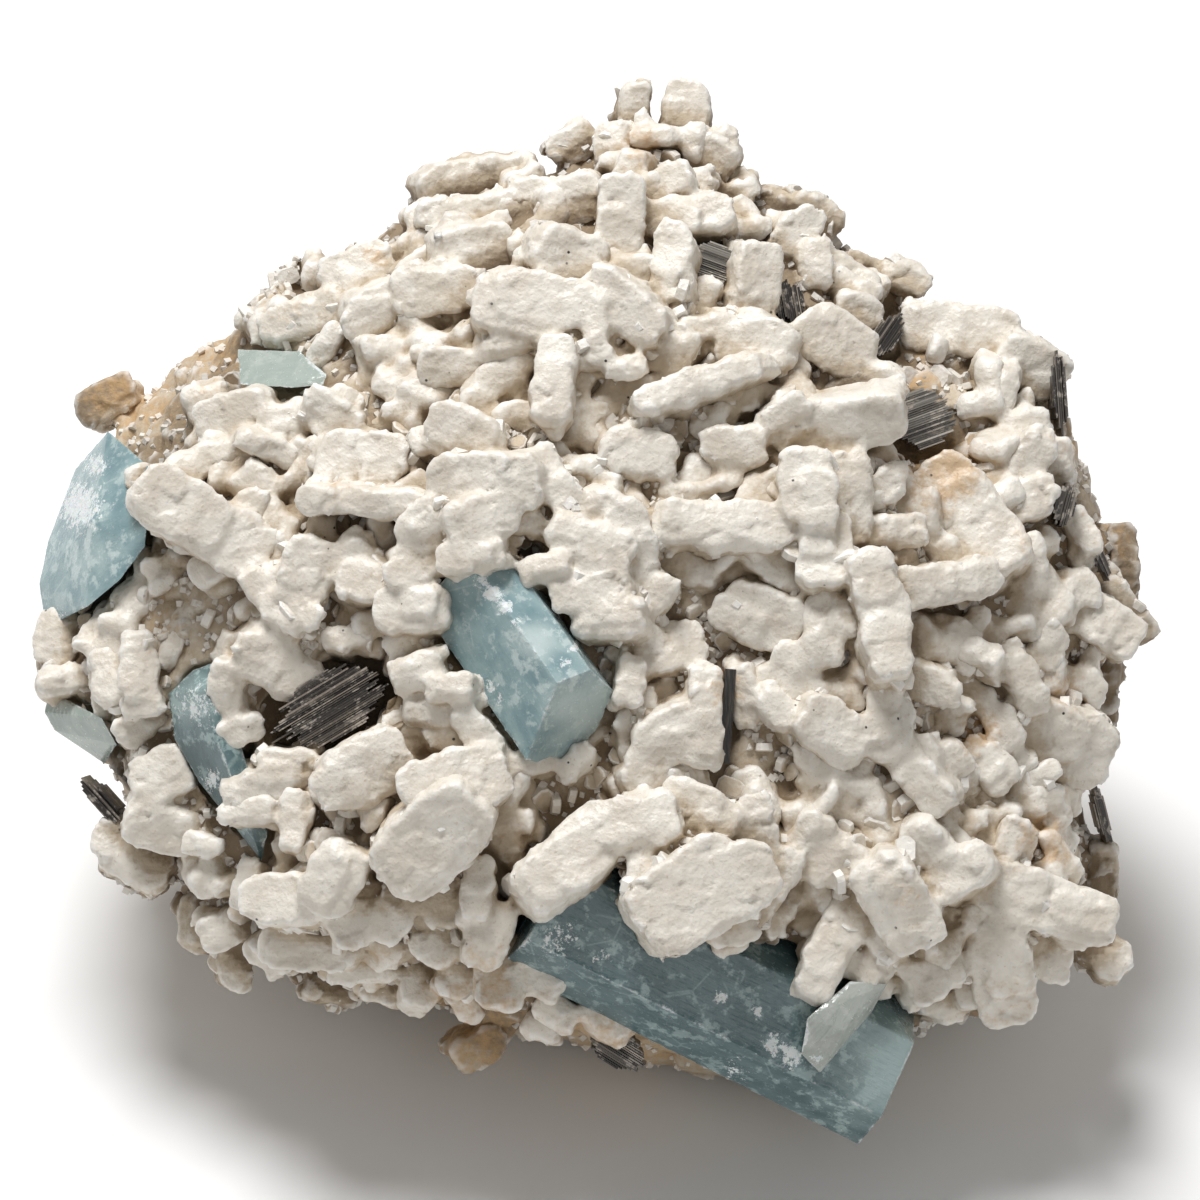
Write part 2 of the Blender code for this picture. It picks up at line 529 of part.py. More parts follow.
def book(name, grow=0.0, finish=None):
    """A mica book: leaves of different reach, stepped at both ends, or its pocket if grown."""
    across, down, height, length, breadth, turn, thickness, leaves = BOOKS[name]
    along, side, out = sketch_axes(math.radians(turn), 0.0)
    middle = spot(across, down, ground(across, down) + height * MM)
    chance = random.Random(name)
    half = length * SQUARE / 2
    leaf = breadth * SQUARE / leaves
    steps = []
    for i in range(leaves):
        rise = (i + 0.5) / leaves * 2 - 1
        reach = half * math.sqrt(1 - BOOK_BULGE * rise * rise)
        steps.append(tuple(reach * chance.uniform(*BOOK_LEAF_REACH) for _ in range(2)))
    outline = []
    for i, (_, right) in enumerate(steps):
        low = i * leaf - breadth * SQUARE / 2
        outline.append((right, low))
        outline.append((right, low + leaf))
    for i, (left, _) in reversed(list(enumerate(steps))):
        low = i * leaf - breadth * SQUARE / 2
        outline.append((-left, low + leaf))
        outline.append((-left, low))
    if grow:
        reach = half + grow
        rise = breadth * SQUARE / 2 + grow
        outline = [(reach, -rise), (reach, rise), (-reach, rise), (-reach, -rise)]
    front = thickness * MM * BOOK_FRONT_SHARE + grow
    back = -thickness * MM * (1 - BOOK_FRONT_SHARE) - grow
    mesh = bmesh.new()
    near = [mesh.verts.new(middle + along * x + side * y + out * front) for x, y in outline]
    far = [mesh.verts.new(middle + along * x + side * y + out * back) for x, y in outline]
    mesh.faces.new(near)
    mesh.faces.new(far[::-1])
    for i in range(len(outline)):
        j = (i + 1) % len(outline)
        mesh.faces.new((near[j], near[i], far[i], far[j]))
    return solid(name, mesh, finish)


def ground_block():
    """The space under the lump, which its base is cut flat by."""
    mesh = bmesh.new()
    below = Matrix.Translation((0, 0, -GROUND_SIZE / 2))
    bmesh.ops.create_cube(mesh, size=GROUND_SIZE, matrix=below)
    return solid("ground", mesh)


def combine(body, other, operation):
    """Joins another object to the body, or cuts it out, and removes that object."""
    step = body.modifiers.new(operation.lower(), "BOOLEAN")
    step.operation = operation
    step.solver = "EXACT"
    step.object = other
    apply_modifiers(body)
    bpy.data.objects.remove(other, do_unlink=True)


def slim(thing, triangles):
    """Merges the slivers where crystals meet, until about this many triangles are left."""
    step = thing.modifiers.new("slim", "DECIMATE")
    thing.data.calc_loop_triangles()
    step.ratio = triangles / len(thing.data.loop_triangles)
    apply_modifiers(thing)


def keep_largest(thing):
    """Drops the crumbs that cutting the pockets leaves loose."""
    mesh = bmesh.new()
    mesh.from_mesh(thing.data)
    left = set(mesh.verts)
    groups = []
    while left:
        group = [left.pop()]
        for vertex in group:
            for edge in vertex.link_edges:
                other = edge.other_vert(vertex)
                if other in left:
                    left.remove(other)
                    group.append(other)
        groups.append(group)
    groups.sort(key=len)
    for group in groups[:-1]:
        bmesh.ops.delete(mesh, geom=group, context="VERTS")
    mesh.to_mesh(thing.data)
    mesh.free()


def build():
    clear_scene()
    white = material("feldspar", (0.86, 0.83, 0.78), 0.55)
    blue = material("aquamarine", (0.30, 0.45, 0.47), 0.2)
    pale = material("pale_beryl", (0.62, 0.68, 0.62), 0.25)
    milky = material("quartz", (0.82, 0.83, 0.80), 0.3)
    dark = material("mica", (0.10, 0.08, 0.07), 0.35)
    finishes = {"aquamarine": blue, "beryl": pale, "quartz": milky}
    rock = lump()
    rock.data.materials.append(white)
    grown_on = list(back_lumps(rock)) + list(face_crystals())
    for crystal in grown_on:
        combine(rock, crystal, "UNION")
    slim(rock, ROCK_TRIANGLES)
    for name in PRISMS:
        combine(rock, prism(name, SEAM), "DIFFERENCE")
        prism(name, 0.0, blue)
    for name in FRAGMENTS:
        combine(rock, fragment(name, SEAM), "DIFFERENCE")
        piece = fragment(name, 0.0, finishes[name.split("_")[0]])
        if name in LIES_ON:
            combine(piece, prism(LIES_ON[name], SEAM), "DIFFERENCE")
            keep_largest(piece)
    for name in BOOKS:
        combine(rock, book(name, SEAM), "DIFFERENCE")
        book(name, 0.0, dark)
    combine(rock, ground_block(), "DIFFERENCE")
    keep_largest(rock)


build()
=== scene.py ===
"""Aquamarine on feldspar, dressed: milky feldspar plates, clear beryl, dark mica and sugary druse.

Lengths are metres and +Z is up. Places on the crystal face are read from the same square sketch as
the solids use: 1200 squares wide and high, seen from one eye point, with heights over the lump.
"""

import math
import random

import bmesh
import bpy
import numpy as np
from mathutils import Matrix, Vector
from mathutils.bvhtree import BVHTree


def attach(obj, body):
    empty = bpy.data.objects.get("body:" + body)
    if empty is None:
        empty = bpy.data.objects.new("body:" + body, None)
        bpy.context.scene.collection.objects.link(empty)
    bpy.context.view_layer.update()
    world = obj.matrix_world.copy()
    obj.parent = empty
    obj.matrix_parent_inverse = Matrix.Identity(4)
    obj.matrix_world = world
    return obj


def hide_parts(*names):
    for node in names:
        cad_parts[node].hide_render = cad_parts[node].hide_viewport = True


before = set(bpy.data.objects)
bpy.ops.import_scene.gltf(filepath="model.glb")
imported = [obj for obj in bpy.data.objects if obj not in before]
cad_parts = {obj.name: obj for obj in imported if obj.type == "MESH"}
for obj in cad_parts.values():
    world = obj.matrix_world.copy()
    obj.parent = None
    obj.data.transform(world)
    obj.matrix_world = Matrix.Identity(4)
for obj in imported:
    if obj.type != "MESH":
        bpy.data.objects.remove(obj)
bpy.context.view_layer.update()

MM = 0.001

# The sketch of the crystal face
SQUARE = 0.127 * MM
SKETCH_WIDTH = 1200
SKETCH_MIDDLE = (592, 611)
EYE_ELEVATION = math.radians(38)
EYE_DISTANCE = 460 * MM
FACE_MIDDLE = Vector((-0.81, 0.0, 49.0)) * MM
SENSOR = 36.0

# The lump
RIM_FORWARD = 5.0 * MM
RIM_LEAN = 0.165
DOME_HEIGHT = 26.0 * MM

# Plates of the feldspar crystals
LOBE_WIDTH = 2.1 * MM
LOBE_DEPTH = 0.34 * MM
PLATE_SQUARENESS = 0.55
PLATE_BEVEL = 0.3 * MM

# Nubs at a crystal's rim: the smallest and largest in mm, and how far out they sit
NUB_SIZE = (1.6, 3.0)
NUB_SQUARENESS = 0.6
NUB_REACH = 0.46

# Shelter: cells of the sketch, how many cells round count, and the shade of the sides and back in mm
SHELTER_CELL = 6
SHELTER_REACH = 9
FRONT_DEPTH = 12.0
BACK_SHADE = 2.0
UNDERSIDE_SHADE = 2.2

# No small crystals grow this near to the beryl and the mica, or to the base, and few behind the face:
# the base, the depth and the fade in mm, and the share of the sugary grains that grow everywhere
DRUSE_GAP = 1.3 * MM
DRUSE_BASE = 2.0
DRUSE_DEPTH = 7.0
FRONT_FADE = 4.0
SUGAR_SHARE = 0.35

# Smaller crystals in the gaps: how far apart, across and thick in squares, and how far they stand out
FILL_STEP = 25
FILL_SIZE = (24, 44)
FILL_HEIGHT = (-1.5, 1.5)
FILL_SEED = 4
FILL_REACH = 0.98
FILL_PROBES = (0.0, 2.5 * MM, 5.0 * MM)
FILL_GAP = 2.8 * MM
FILL_HOLD = 1.2 * MM

# Where stains are this strong the rock stays bare and grainy, up to this share of the outline's reach
GRAINY_STAIN = 0.5
GRAINY_REACH = 0.85

# Outlines of the small crystals, one unit across
CUT_OUTLINE = [
    (0.5, 0.28), (0.3, 0.5), (-0.34, 0.5), (-0.5, 0.2), (-0.5, -0.34), (-0.26, -0.5), (0.36, -0.5),
    (0.5, -0.22),
]
SKEW_OUTLINE = [(0.5, 0.4), (-0.42, 0.5), (-0.5, -0.44), (0.4, -0.5)]

# Grain of the finished surfaces, and the scale along the beryl that draws its fine lines out
FILL_GRAIN = 0.58 * MM
CRYSTAL_GRAIN = 0.42 * MM
ROCK_GRAIN = 0.95 * MM
BERYL_GRAIN = 0.6 * MM
LINE_STRETCH = 0.06

# The edge of the lump behind its rim crystals: across, down
OUTLINE = [
    (640, 118), (698, 126), (728, 172), (795, 218), (842, 262), (888, 300), (925, 334),
    (985, 322), (1040, 345), (1104, 392), (1124, 470), (1118, 545), (1112, 650), (1096, 700),
    (1088, 755), (1088, 905), (1090, 955), (1052, 988), (1022, 1024), (955, 1034), (900, 1020),
    (845, 1062), (792, 1108), (740, 1102), (680, 1094), (620, 1060), (560, 1056), (500, 1046),
    (452, 1030), (400, 990), (335, 988), (240, 965), (214, 925), (190, 878), (148, 862),
    (128, 815), (112, 765), (75, 722), (60, 680), (58, 600), (68, 520), (92, 455),
    (92, 412), (148, 368), (195, 342), (258, 305), (320, 258), (368, 226), (430, 192),
    (500, 176), (560, 156), (604, 146), (622, 126),
]

# Swells and hollows of the crystal face: across, down, reach in squares, height in mm
SWELLS = [
    (560, 290, 110, 4.5), (800, 420, 80, 4.0), (480, 480, 80, 3.0), (205, 520, 60, 3.0),
    (430, 815, 70, 4.5), (690, 890, 60, 4.0), (1050, 890, 70, 4.0), (900, 880, 55, 3.0),
    (310, 890, 55, 3.0), (850, 620, 60, 3.0), (930, 430, 50, -6.0), (715, 650, 55, -7.0),
    (330, 690, 55, -3.5), (190, 615, 50, -4.0), (580, 800, 40, -3.0), (770, 760, 40, -4.0),
]

# Feldspar crystals by region, in squares of the sketch, heights in mm above the lump:
# across, down, length, breadth, turn in degrees from the across line, height
CRYSTALS = {
    "top": [
        (632, 112, 52, 34, 90, 1), (686, 122, 50, 46, 80, 1), (576, 146, 44, 42, 40, 1),
        (612, 150, 46, 36, 90, 1), (714, 163, 52, 48, 50, 0), (451, 190, 74, 50, 12, 1),
        (500, 178, 62, 42, 5, 1), (535, 199, 45, 36, 0, 1), (578, 199, 52, 50, 20, 2),
        (620, 228, 92, 46, 88, 3), (685, 222, 96, 42, 5, 2), (675, 186, 46, 36, 20, 2),
        (470, 250, 82, 60, 10, 3), (563, 257, 82, 60, -20, 4), (522, 312, 96, 66, -12, 5),
        (432, 290, 76, 58, 5, 3), (598, 322, 62, 26, 88, 4), (632, 312, 78, 48, -35, 4),
        (676, 276, 66, 42, 80, 3), (555, 385, 92, 42, 86, 5), (507, 349, 46, 28, 10, 3),
        (451, 368, 60, 38, -5, 2), (600, 360, 32, 20, 15, 3), (626, 367, 34, 20, 10, 3),
        (700, 388, 142, 34, 20, 6), (765, 346, 68, 52, -10, 4), (750, 290, 84, 50, 78, 3),
        (783, 244, 56, 42, 60, 1), (783, 206, 62, 38, -15, 0), (706, 328, 62, 28, 5, 3),
        (470, 214, 112, 36, 4, 2), (818, 218, 46, 42, -40, 0), (859, 264, 32, 24, -20, 0),
        (898, 280, 46, 38, -30, 0), (851, 280, 62, 32, -35, 1), (815, 272, 46, 34, 90, 2),
        (831, 346, 78, 64, -32, 3), (877, 384, 52, 42, -20, 2), (378, 314, 66, 60, 30, 2),
        (357, 276, 52, 50, 20, 1), (306, 322, 74, 42, 15, 0), (683, 352, 40, 34, 60, 3),
    ],
    "right": [
        (961, 334, 112, 58, -6, 1), (1026, 364, 66, 58, -30, 1), (835, 420, 128, 52, 14, 4),
        (804, 488, 74, 54, 90, 5), (846, 487, 62, 46, 88, 3), (884, 490, 36, 28, 80, 2),
        (823, 555, 70, 52, 88, 4), (975, 525, 104, 66, -58, 1), (938, 583, 108, 42, 8, 5),
        (880, 617, 126, 46, -78, 6), (973, 656, 62, 27, -22, 3), (1019, 682, 72, 34, -64, 3),
        (1042, 650, 42, 38, 60, 1), (1120, 608, 82, 34, -54, 1), (1092, 622, 74, 48, -26, 2),
        (1121, 564, 78, 30, 95, -4), (1024, 459, 58, 40, 70, 1), (1058, 464, 44, 34, 90, 0),
        (1022, 508, 52, 42, 20, 1), (1078, 538, 56, 28, -60, 0), (928, 679, 52, 42, -20, 2),
        (887, 730, 60, 52, 80, 3), (826, 731, 80, 56, -38, 3), (921, 772, 84, 38, -52, 4),
        (950, 758, 38, 30, -50, 2), (1055, 732, 104, 74, -20, 2), (1030, 782, 38, 28, 10, 1),
        (1107, 684, 64, 26, 86, -3), (989, 770, 48, 42, -50, 1), (719, 531, 128, 48, -4, 4),
        (765, 617, 80, 58, -26, 2), (734, 448, 54, 46, 0, 2), (697, 484, 86, 17, 10, 2),
        (640, 456, 64, 54, -14, 3), (747, 693, 62, 27, 95, 2), (775, 707, 50, 36, -50, 2),
        (784, 420, 46, 40, 30, 3), (1000, 392, 40, 26, 80, 1), (877, 534, 92, 36, 5, 1),
    ],
    "left": [
        (201, 525, 130, 60, -35, 5), (157, 492, 44, 40, 20, 3), (199, 467, 58, 36, 20, 3),
        (252, 510, 46, 36, 60, 1), (237, 416, 72, 42, 16, 3), (265, 446, 64, 27, -25, 3),
        (288, 424, 44, 40, 10, 2), (337, 416, 62, 42, -32, 3), (362, 459, 74, 46, 0, 3),
        (370, 500, 138, 30, -4, 6), (321, 536, 42, 32, 88, 1), (306, 571, 52, 48, 70, 4),
        (265, 584, 46, 34, -42, 3), (291, 613, 52, 40, -30, 4), (352, 563, 58, 46, 60, 2),
        (376, 585, 52, 40, -10, 3), (352, 642, 48, 25, 2, 1), (258, 634, 34, 32, 40, 2),
        (281, 668, 82, 50, -25, 2), (230, 681, 48, 30, 80, 3), (224, 643, 32, 20, 68, 1),
        (138, 664, 60, 34, 88, 2), (111, 682, 58, 30, 100, 1), (62, 640, 56, 44, 80, 0),
        (70, 682, 56, 30, 10, 1), (135, 730, 38, 34, 30, 1), (238, 726, 46, 30, 12, 2),
        (288, 766, 60, 42, 0, 2), (255, 788, 52, 34, 10, 3), (367, 770, 72, 66, 30, 4),
        (166, 778, 56, 46, 20, 1), (163, 820, 78, 54, -15, 2), (138, 862, 72, 58, -30, 1),
        (340, 418, 50, 30, 60, 2), (110, 402, 56, 40, 30, -10), (150, 700, 36, 28, 20, 1),
    ],
    "middle": [
        (471, 438, 78, 56, -22, 3), (489, 484, 92, 56, 4, 5), (477, 522, 68, 52, 15, 6),
        (479, 556, 58, 34, 8, 6.5), (428, 524, 48, 42, 45, 5), (431, 446, 38, 32, 10, 2),
        (525, 525, 28, 28, 5, 3), (586, 471, 44, 26, -5, 2), (553, 484, 64, 36, -60, 4),
        (598, 506, 44, 42, 10, 4), (591, 547, 78, 46, -30, 5), (632, 539, 68, 42, 100, 4),
        (602, 586, 62, 42, 15, 5), (612, 621, 72, 42, 4, 5), (548, 571, 44, 28, 12, 5),
        (655, 594, 42, 36, 50, 3), (665, 656, 58, 48, 10, 3), (630, 684, 46, 28, 80, 3),
        (702, 720, 92, 34, 88, 4), (666, 730, 62, 52, 30, 3), (579, 766, 30, 28, 45, 2),
        (515, 764, 76, 27, 6, 1.5), (480, 733, 50, 32, -50, 3), (420, 671, 54, 40, 15, 4),
        (454, 692, 46, 30, 4, 5), (438, 712, 62, 30, -4, 2), (415, 566, 48, 42, 20, 4),
        (415, 610, 50, 46, 0, 4), (464, 785, 88, 60, 15, 3.4), (642, 775, 50, 44, 40, 2),
    ],
    "lower": [
        (438, 834, 88, 76, 45, 5), (566, 868, 98, 56, 40, 8), (631, 828, 84, 54, 14, 6),
        (645, 866, 44, 26, 88, 5), (706, 812, 64, 38, -20, 3), (755, 834, 62, 44, 100, 3),
        (688, 898, 104, 86, 30, 6.2), (732, 925, 46, 36, 10, 4), (765, 884, 66, 40, 58, 3),
        (446, 900, 46, 38, 88, 3), (479, 890, 50, 32, 90, 6), (446, 938, 54, 46, 60, 3),
        (489, 934, 54, 44, 70, 6), (459, 972, 50, 42, 80, 2), (499, 974, 54, 44, 98, 3),
        (534, 969, 56, 36, -42, 2), (558, 1012, 42, 32, -30, 1), (599, 1018, 50, 32, -36, 1),
        (420, 982, 46, 36, 80, 2), (829, 949, 108, 42, 66, 5), (860, 964, 64, 32, -30, 5),
        (898, 898, 90, 60, -60, 4), (882, 940, 54, 42, -60, 3), (925, 838, 52, 38, -50, 3),
        (963, 871, 56, 46, 32, 4), (1012, 843, 52, 38, 68, 2), (1045, 904, 134, 56, -18, 4),
        (1103, 955, 56, 44, -44, 2), (1045, 950, 48, 44, 80, 2), (1000, 955, 94, 58, -80, 3),
        (916, 972, 66, 46, -70, 3), (945, 966, 46, 32, -70, 2), (810, 838, 50, 44, 60, 2),
        (843, 861, 50, 42, 50, 2), (301, 903, 78, 50, 5, 4), (337, 876, 74, 56, 60, 5),
        (358, 915, 64, 48, 24, 4), (306, 943, 64, 42, -10, 2), (367, 966, 68, 34, 3, 1),
        (199, 920, 54, 42, 88, 0), (230, 922, 54, 38, 20, 1), (232, 962, 46, 36, 98, 0),
        (253, 886, 42, 26, 75, 3), (298, 826, 48, 30, 80, 3), (255, 812, 52, 30, 4, 4),
        (395, 905, 50, 42, 60, 3), (330, 984, 60, 44, -10, -4), (476, 1046, 52, 40, 30, -3),
        (1098, 872, 70, 30, 86, -2), (385, 985, 60, 32, -8, 0),
    ],
}
CRYSTAL_FLATNESS = 0.62
CRYSTAL_THINNEST = 26
CRYSTAL_ROOT = 3.0 * MM
CRYSTAL_SUNK_SHARE = 0.35
CRYSTAL_TILT = 14

# Iron-stained and sugary tan patches of the face: across, down, reach in squares, strength
STAINS = [
    (640, 148, 24, 1.0), (130, 395, 60, 0.8), (200, 345, 60, 0.7), (290, 290, 50, 0.5),
    (375, 255, 16, 0.9), (380, 200, 20, 0.5), (945, 470, 50, 1.0), (920, 375, 40, 0.7),
    (1090, 440, 40, 0.8), (1110, 520, 40, 0.7), (980, 735, 24, 1.0), (1065, 690, 24, 0.9),
    (1045, 840, 34, 0.9), (480, 1030, 90, 0.7), (620, 1075, 110, 0.8), (760, 1105, 50, 0.7),
    (990, 1020, 50, 0.5), (1010, 1000, 60, 0.5), (165, 620, 50, 0.5), (335, 480, 20, 0.6),
    (725, 690, 26, 0.7), (380, 960, 70, 0.4), (900, 900, 30, 0.4), (1030, 560, 40, 0.5),
]

# Mica books: middle across and down, height above the lump in mm, then length across the leaves'
# edges and breadth in squares, turn in degrees and thickness in mm
BOOKS = {
    "mica_book_main": (331, 704, 1.5, 118, 62, 31, 5.0),
    "mica_book_grey": (922, 418, 3.0, 62, 56, 20, 5.0),
    "mica_book_notch": (884, 336, 1.0, 52, 26, 56, 4.0),
    "mica_book_recess": (787, 302, 1.0, 44, 34, -80, 4.0),
    "mica_book_top": (714, 262, 1.0, 58, 36, -20, 4.0),
    "mica_leaf_right": (1058, 392, 1.5, 88, 14, -86, 6.0),
    "mica_book_side": (1063, 504, 1.5, 46, 20, 75, 4.0),
    "mica_leaf_side": (1098, 556, 1.0, 50, 12, -66, 5.0),
    "mica_book_base": (618, 1046, 1.0, 66, 34, -32, 5.0),
    "mica_leaf_left": (106, 800, 0.5, 62, 16, -48, 8.0),
    "mica_leaf_lower": (1100, 812, 0.5, 62, 12, -76, 5.0),
}

EYE_WAY = Vector((0.0, -math.cos(EYE_ELEVATION), math.sin(EYE_ELEVATION)))
SKETCH_UP = Vector((0.0, math.sin(EYE_ELEVATION), math.cos(EYE_ELEVATION)))
SKETCH_ACROSS = Vector((1.0, 0.0, 0.0))
EYE = FACE_MIDDLE + EYE_WAY * EYE_DISTANCE


# Places on the sketch

def outline_table():
    """The outline's reach from the sketch's middle at each degree, in squares."""
    points = np.array(OUTLINE, float) - SKETCH_MIDDLE
    after = np.roll(points, -1, axis=0)
    reaches = []
    for degree in range(-180, 181):
        angle = math.radians(degree)
        way = np.array((math.cos(angle), math.sin(angle)))
        edge = after - points
        cross = way[0] * edge[:, 1] - way[1] * edge[:, 0]
        cross = np.where(abs(cross) < 1e-9, 1e-9, cross)
        along = (points[:, 0] * edge[:, 1] - points[:, 1] * edge[:, 0]) / cross
        share = (points[:, 0] * way[1] - points[:, 1] * way[0]) / cross
        reaches.append(along[(along > 0) & (share >= 0) & (share <= 1)].max())
    return np.array(reaches)


REACHES = outline_table()


def ground(across, down):
    """The depth of the lump's front at squares of the sketch, or of its rim outside it."""
    x = np.asarray(across, float)
    y = np.asarray(down, float)
    angle = np.degrees(np.arctan2(y - SKETCH_MIDDLE[1], x - SKETCH_MIDDLE[0]))
    reach = np.interp(angle, np.arange(-180, 181), REACHES)
    share = np.minimum(1, np.hypot(x - SKETCH_MIDDLE[0], y - SKETCH_MIDDLE[1]) / reach)
    height = DOME_HEIGHT * np.sqrt(1 - share**2)
    for at_x, at_y, size, swell in SWELLS:
        near = ((x - at_x) ** 2 + (y - at_y) ** 2) / size**2
        height = height + swell * MM * np.exp(-near) * (1 - share**8)
    return RIM_FORWARD + (y - SKETCH_MIDDLE[1]) * SQUARE * RIM_LEAN + height


def spot(across, down, height=0.0):
    """The point behind a square of the sketch, this many metres above the lump."""
    depth = float(ground(across, down)) + height
    sideways = SKETCH_ACROSS * (across - SKETCH_MIDDLE[0]) * SQUARE
    upward = SKETCH_UP * (SKETCH_MIDDLE[1] - down) * SQUARE
    on_plane = FACE_MIDDLE + sideways + upward
    return EYE + (on_plane - EYE) * (1 - depth / EYE_DISTANCE)


def sketch_places(points):
    """Each point's square across and down, and its height above the lump."""
    from_eye = points - np.array(EYE)
    away = from_eye @ -np.array(EYE_WAY)
    scale = EYE_DISTANCE / away / SQUARE
    across = SKETCH_MIDDLE[0] + from_eye @ np.array(SKETCH_ACROSS) * scale
    down = SKETCH_MIDDLE[1] - from_eye @ np.array(SKETCH_UP) * scale
    return across, down, EYE_DISTANCE - away - ground(across, down)


def sketch_axes(turn, lean, roll=0.0):
    """Length, breadth and thickness ways for a turn on the sketch and a lean toward the eye."""
    flat = SKETCH_ACROSS * math.cos(turn) + SKETCH_UP * math.sin(turn)
    side = SKETCH_UP * math.cos(turn) - SKETCH_ACROSS * math.sin(turn)
    along = flat * math.cos(lean) + EYE_WAY * math.sin(lean)
    out = EYE_WAY * math.cos(lean) - flat * math.sin(lean)
    turned = Matrix.Rotation(roll, 3, along)
    return along, turned @ side, turned @ out


# Finishes

class Value:
    """A number that changes over a surface, so that a mask reads like a formula."""

    def __init__(self, finish, socket):
        self.finish = finish
        self.socket = socket

    def _math(self, operation, first, second):
        return self.finish.node(
            "ShaderNodeMath", {"operation": operation}, {0: first, 1: second}
        ).value()

    def __add__(self, other):
        return self._math("ADD", self, other)

    def __radd__(self, other):
        return self._math("ADD", other, self)

    def __sub__(self, other):
        return self._math("SUBTRACT", self, other)

    def __mul__(self, other):
        return self._math("MULTIPLY", self, other)

    def __rmul__(self, other):
        return self._math("MULTIPLY", other, self)

    def within(self, low, high):
        """Runs smoothly from 0 at low to 1 at high."""
        return self.finish.node(
            "ShaderNodeMapRange",
            {"interpolation_type": "SMOOTHSTEP"},
            {"Value": self, "From Min": low, "From Max": high},
        ).value()


class Made:
    """A node that was just made, and ways to its outputs."""

    def __init__(self, finish, node):
        self.finish = finish
        self.made = node

    def value(self, output=0):
        return Value(self.finish, self.made.outputs[output])

    def socket(self, output=0):
        return self.made.outputs[output]


def connect(tree, node, inputs):
    """Links or sets a node's sockets."""
    for key, given in inputs.items():
        if isinstance(given, Value):
            given = given.socket
        if isinstance(given, bpy.types.NodeSocket):
            tree.links.new(given, node.inputs[key])
        else:
            node.inputs[key].default_value = given


class Finish:
    """A material and the nodes that make it."""

    def __init__(self, name):
        self.material = bpy.data.materials.new(name)
        self.material.use_nodes = True
        self.tree = self.material.node_tree
        self.shader = self.tree.nodes["Principled BSDF"]
        self.output = self.tree.nodes["Material Output"]

    def node(self, kind, settings=None, inputs=None):
        """Makes a node: its settings first, then the values or links of its sockets."""
        made = self.tree.nodes.new(kind)
        for key, given in (settings or {}).items():
            setattr(made, key, given)
        connect(self.tree, made, inputs or {})
        return Made(self, made)

    def place(self, scale=(1, 1, 1)):
        """Object coordinates in mm, stretched."""
        here = self.node("ShaderNodeTexCoord").socket("Object")
        size = tuple(part / MM for part in scale)
        return self.node("ShaderNodeMapping", None, {"Vector": here, "Scale": size}).socket()

    def noise(self, size, detail=3.0, place=None, rough=0.55):
        """Cloudy noise whose blobs are about this many mm across."""
        return self.node(
            "ShaderNodeTexNoise",
            None,
            {"Vector": place or self.place(), "Scale": 1 / size, "Detail": detail,
             "Roughness": rough},
        ).value()

    def cells(self, size, feature="F1"):
        """Distance in cells that are about this many mm across."""
        inputs = {"Vector": self.place(), "Scale": 1 / size}
        return self.node("ShaderNodeTexVoronoi", {"feature": feature}, inputs).value("Distance")

    def carried(self, name):
        """A number that the mesh carries at its points."""
        return self.node("ShaderNodeAttribute", {"attribute_name": name}).value("Fac")

    def mix(self, mask, plain, masked):
        """One colour, and another where the mask is 1."""
        made = self.node("ShaderNodeMix", {"data_type": "RGBA"}, {"Factor": mask})
        sockets = [s for s in made.made.inputs if s.type == "RGBA"]
        for socket, given in zip(sockets, (plain, masked)):
            if isinstance(given, bpy.types.NodeSocket):
                self.tree.links.new(given, socket)
            else:
                socket.default_value = (*given, 1.0)
        return next(s for s in made.made.outputs if s.type == "RGBA")

    def bump(self, height, distance):
        """Relief that is too fine for the mesh, distance in mm."""
        inputs = {"Height": height, "Distance": distance * MM, "Strength": 1.0}
        return self.node("ShaderNodeBump", None, inputs).socket()

    def surface(self, **inputs):
        """Sets the shader's sockets by name, with spaces as underscores."""
        named = {key.replace("_", " "): given for key, given in inputs.items()}
        connect(self.tree, self.shader, named)


FELDSPAR_WHITE = (0.785, 0.74, 0.665)
FELDSPAR_MILK = (0.66, 0.60, 0.515)
# Tan and brown serve as painted shade deep among the crystals, on undersides and on the back; the tan
# also as real dust and pits
FELDSPAR_TAN = (0.48, 0.39, 0.28)
FELDSPAR_BROWN = (0.23, 0.165, 0.10)
RUST = (0.54, 0.34, 0.155)
SPECK = (0.03, 0.028, 0.025)


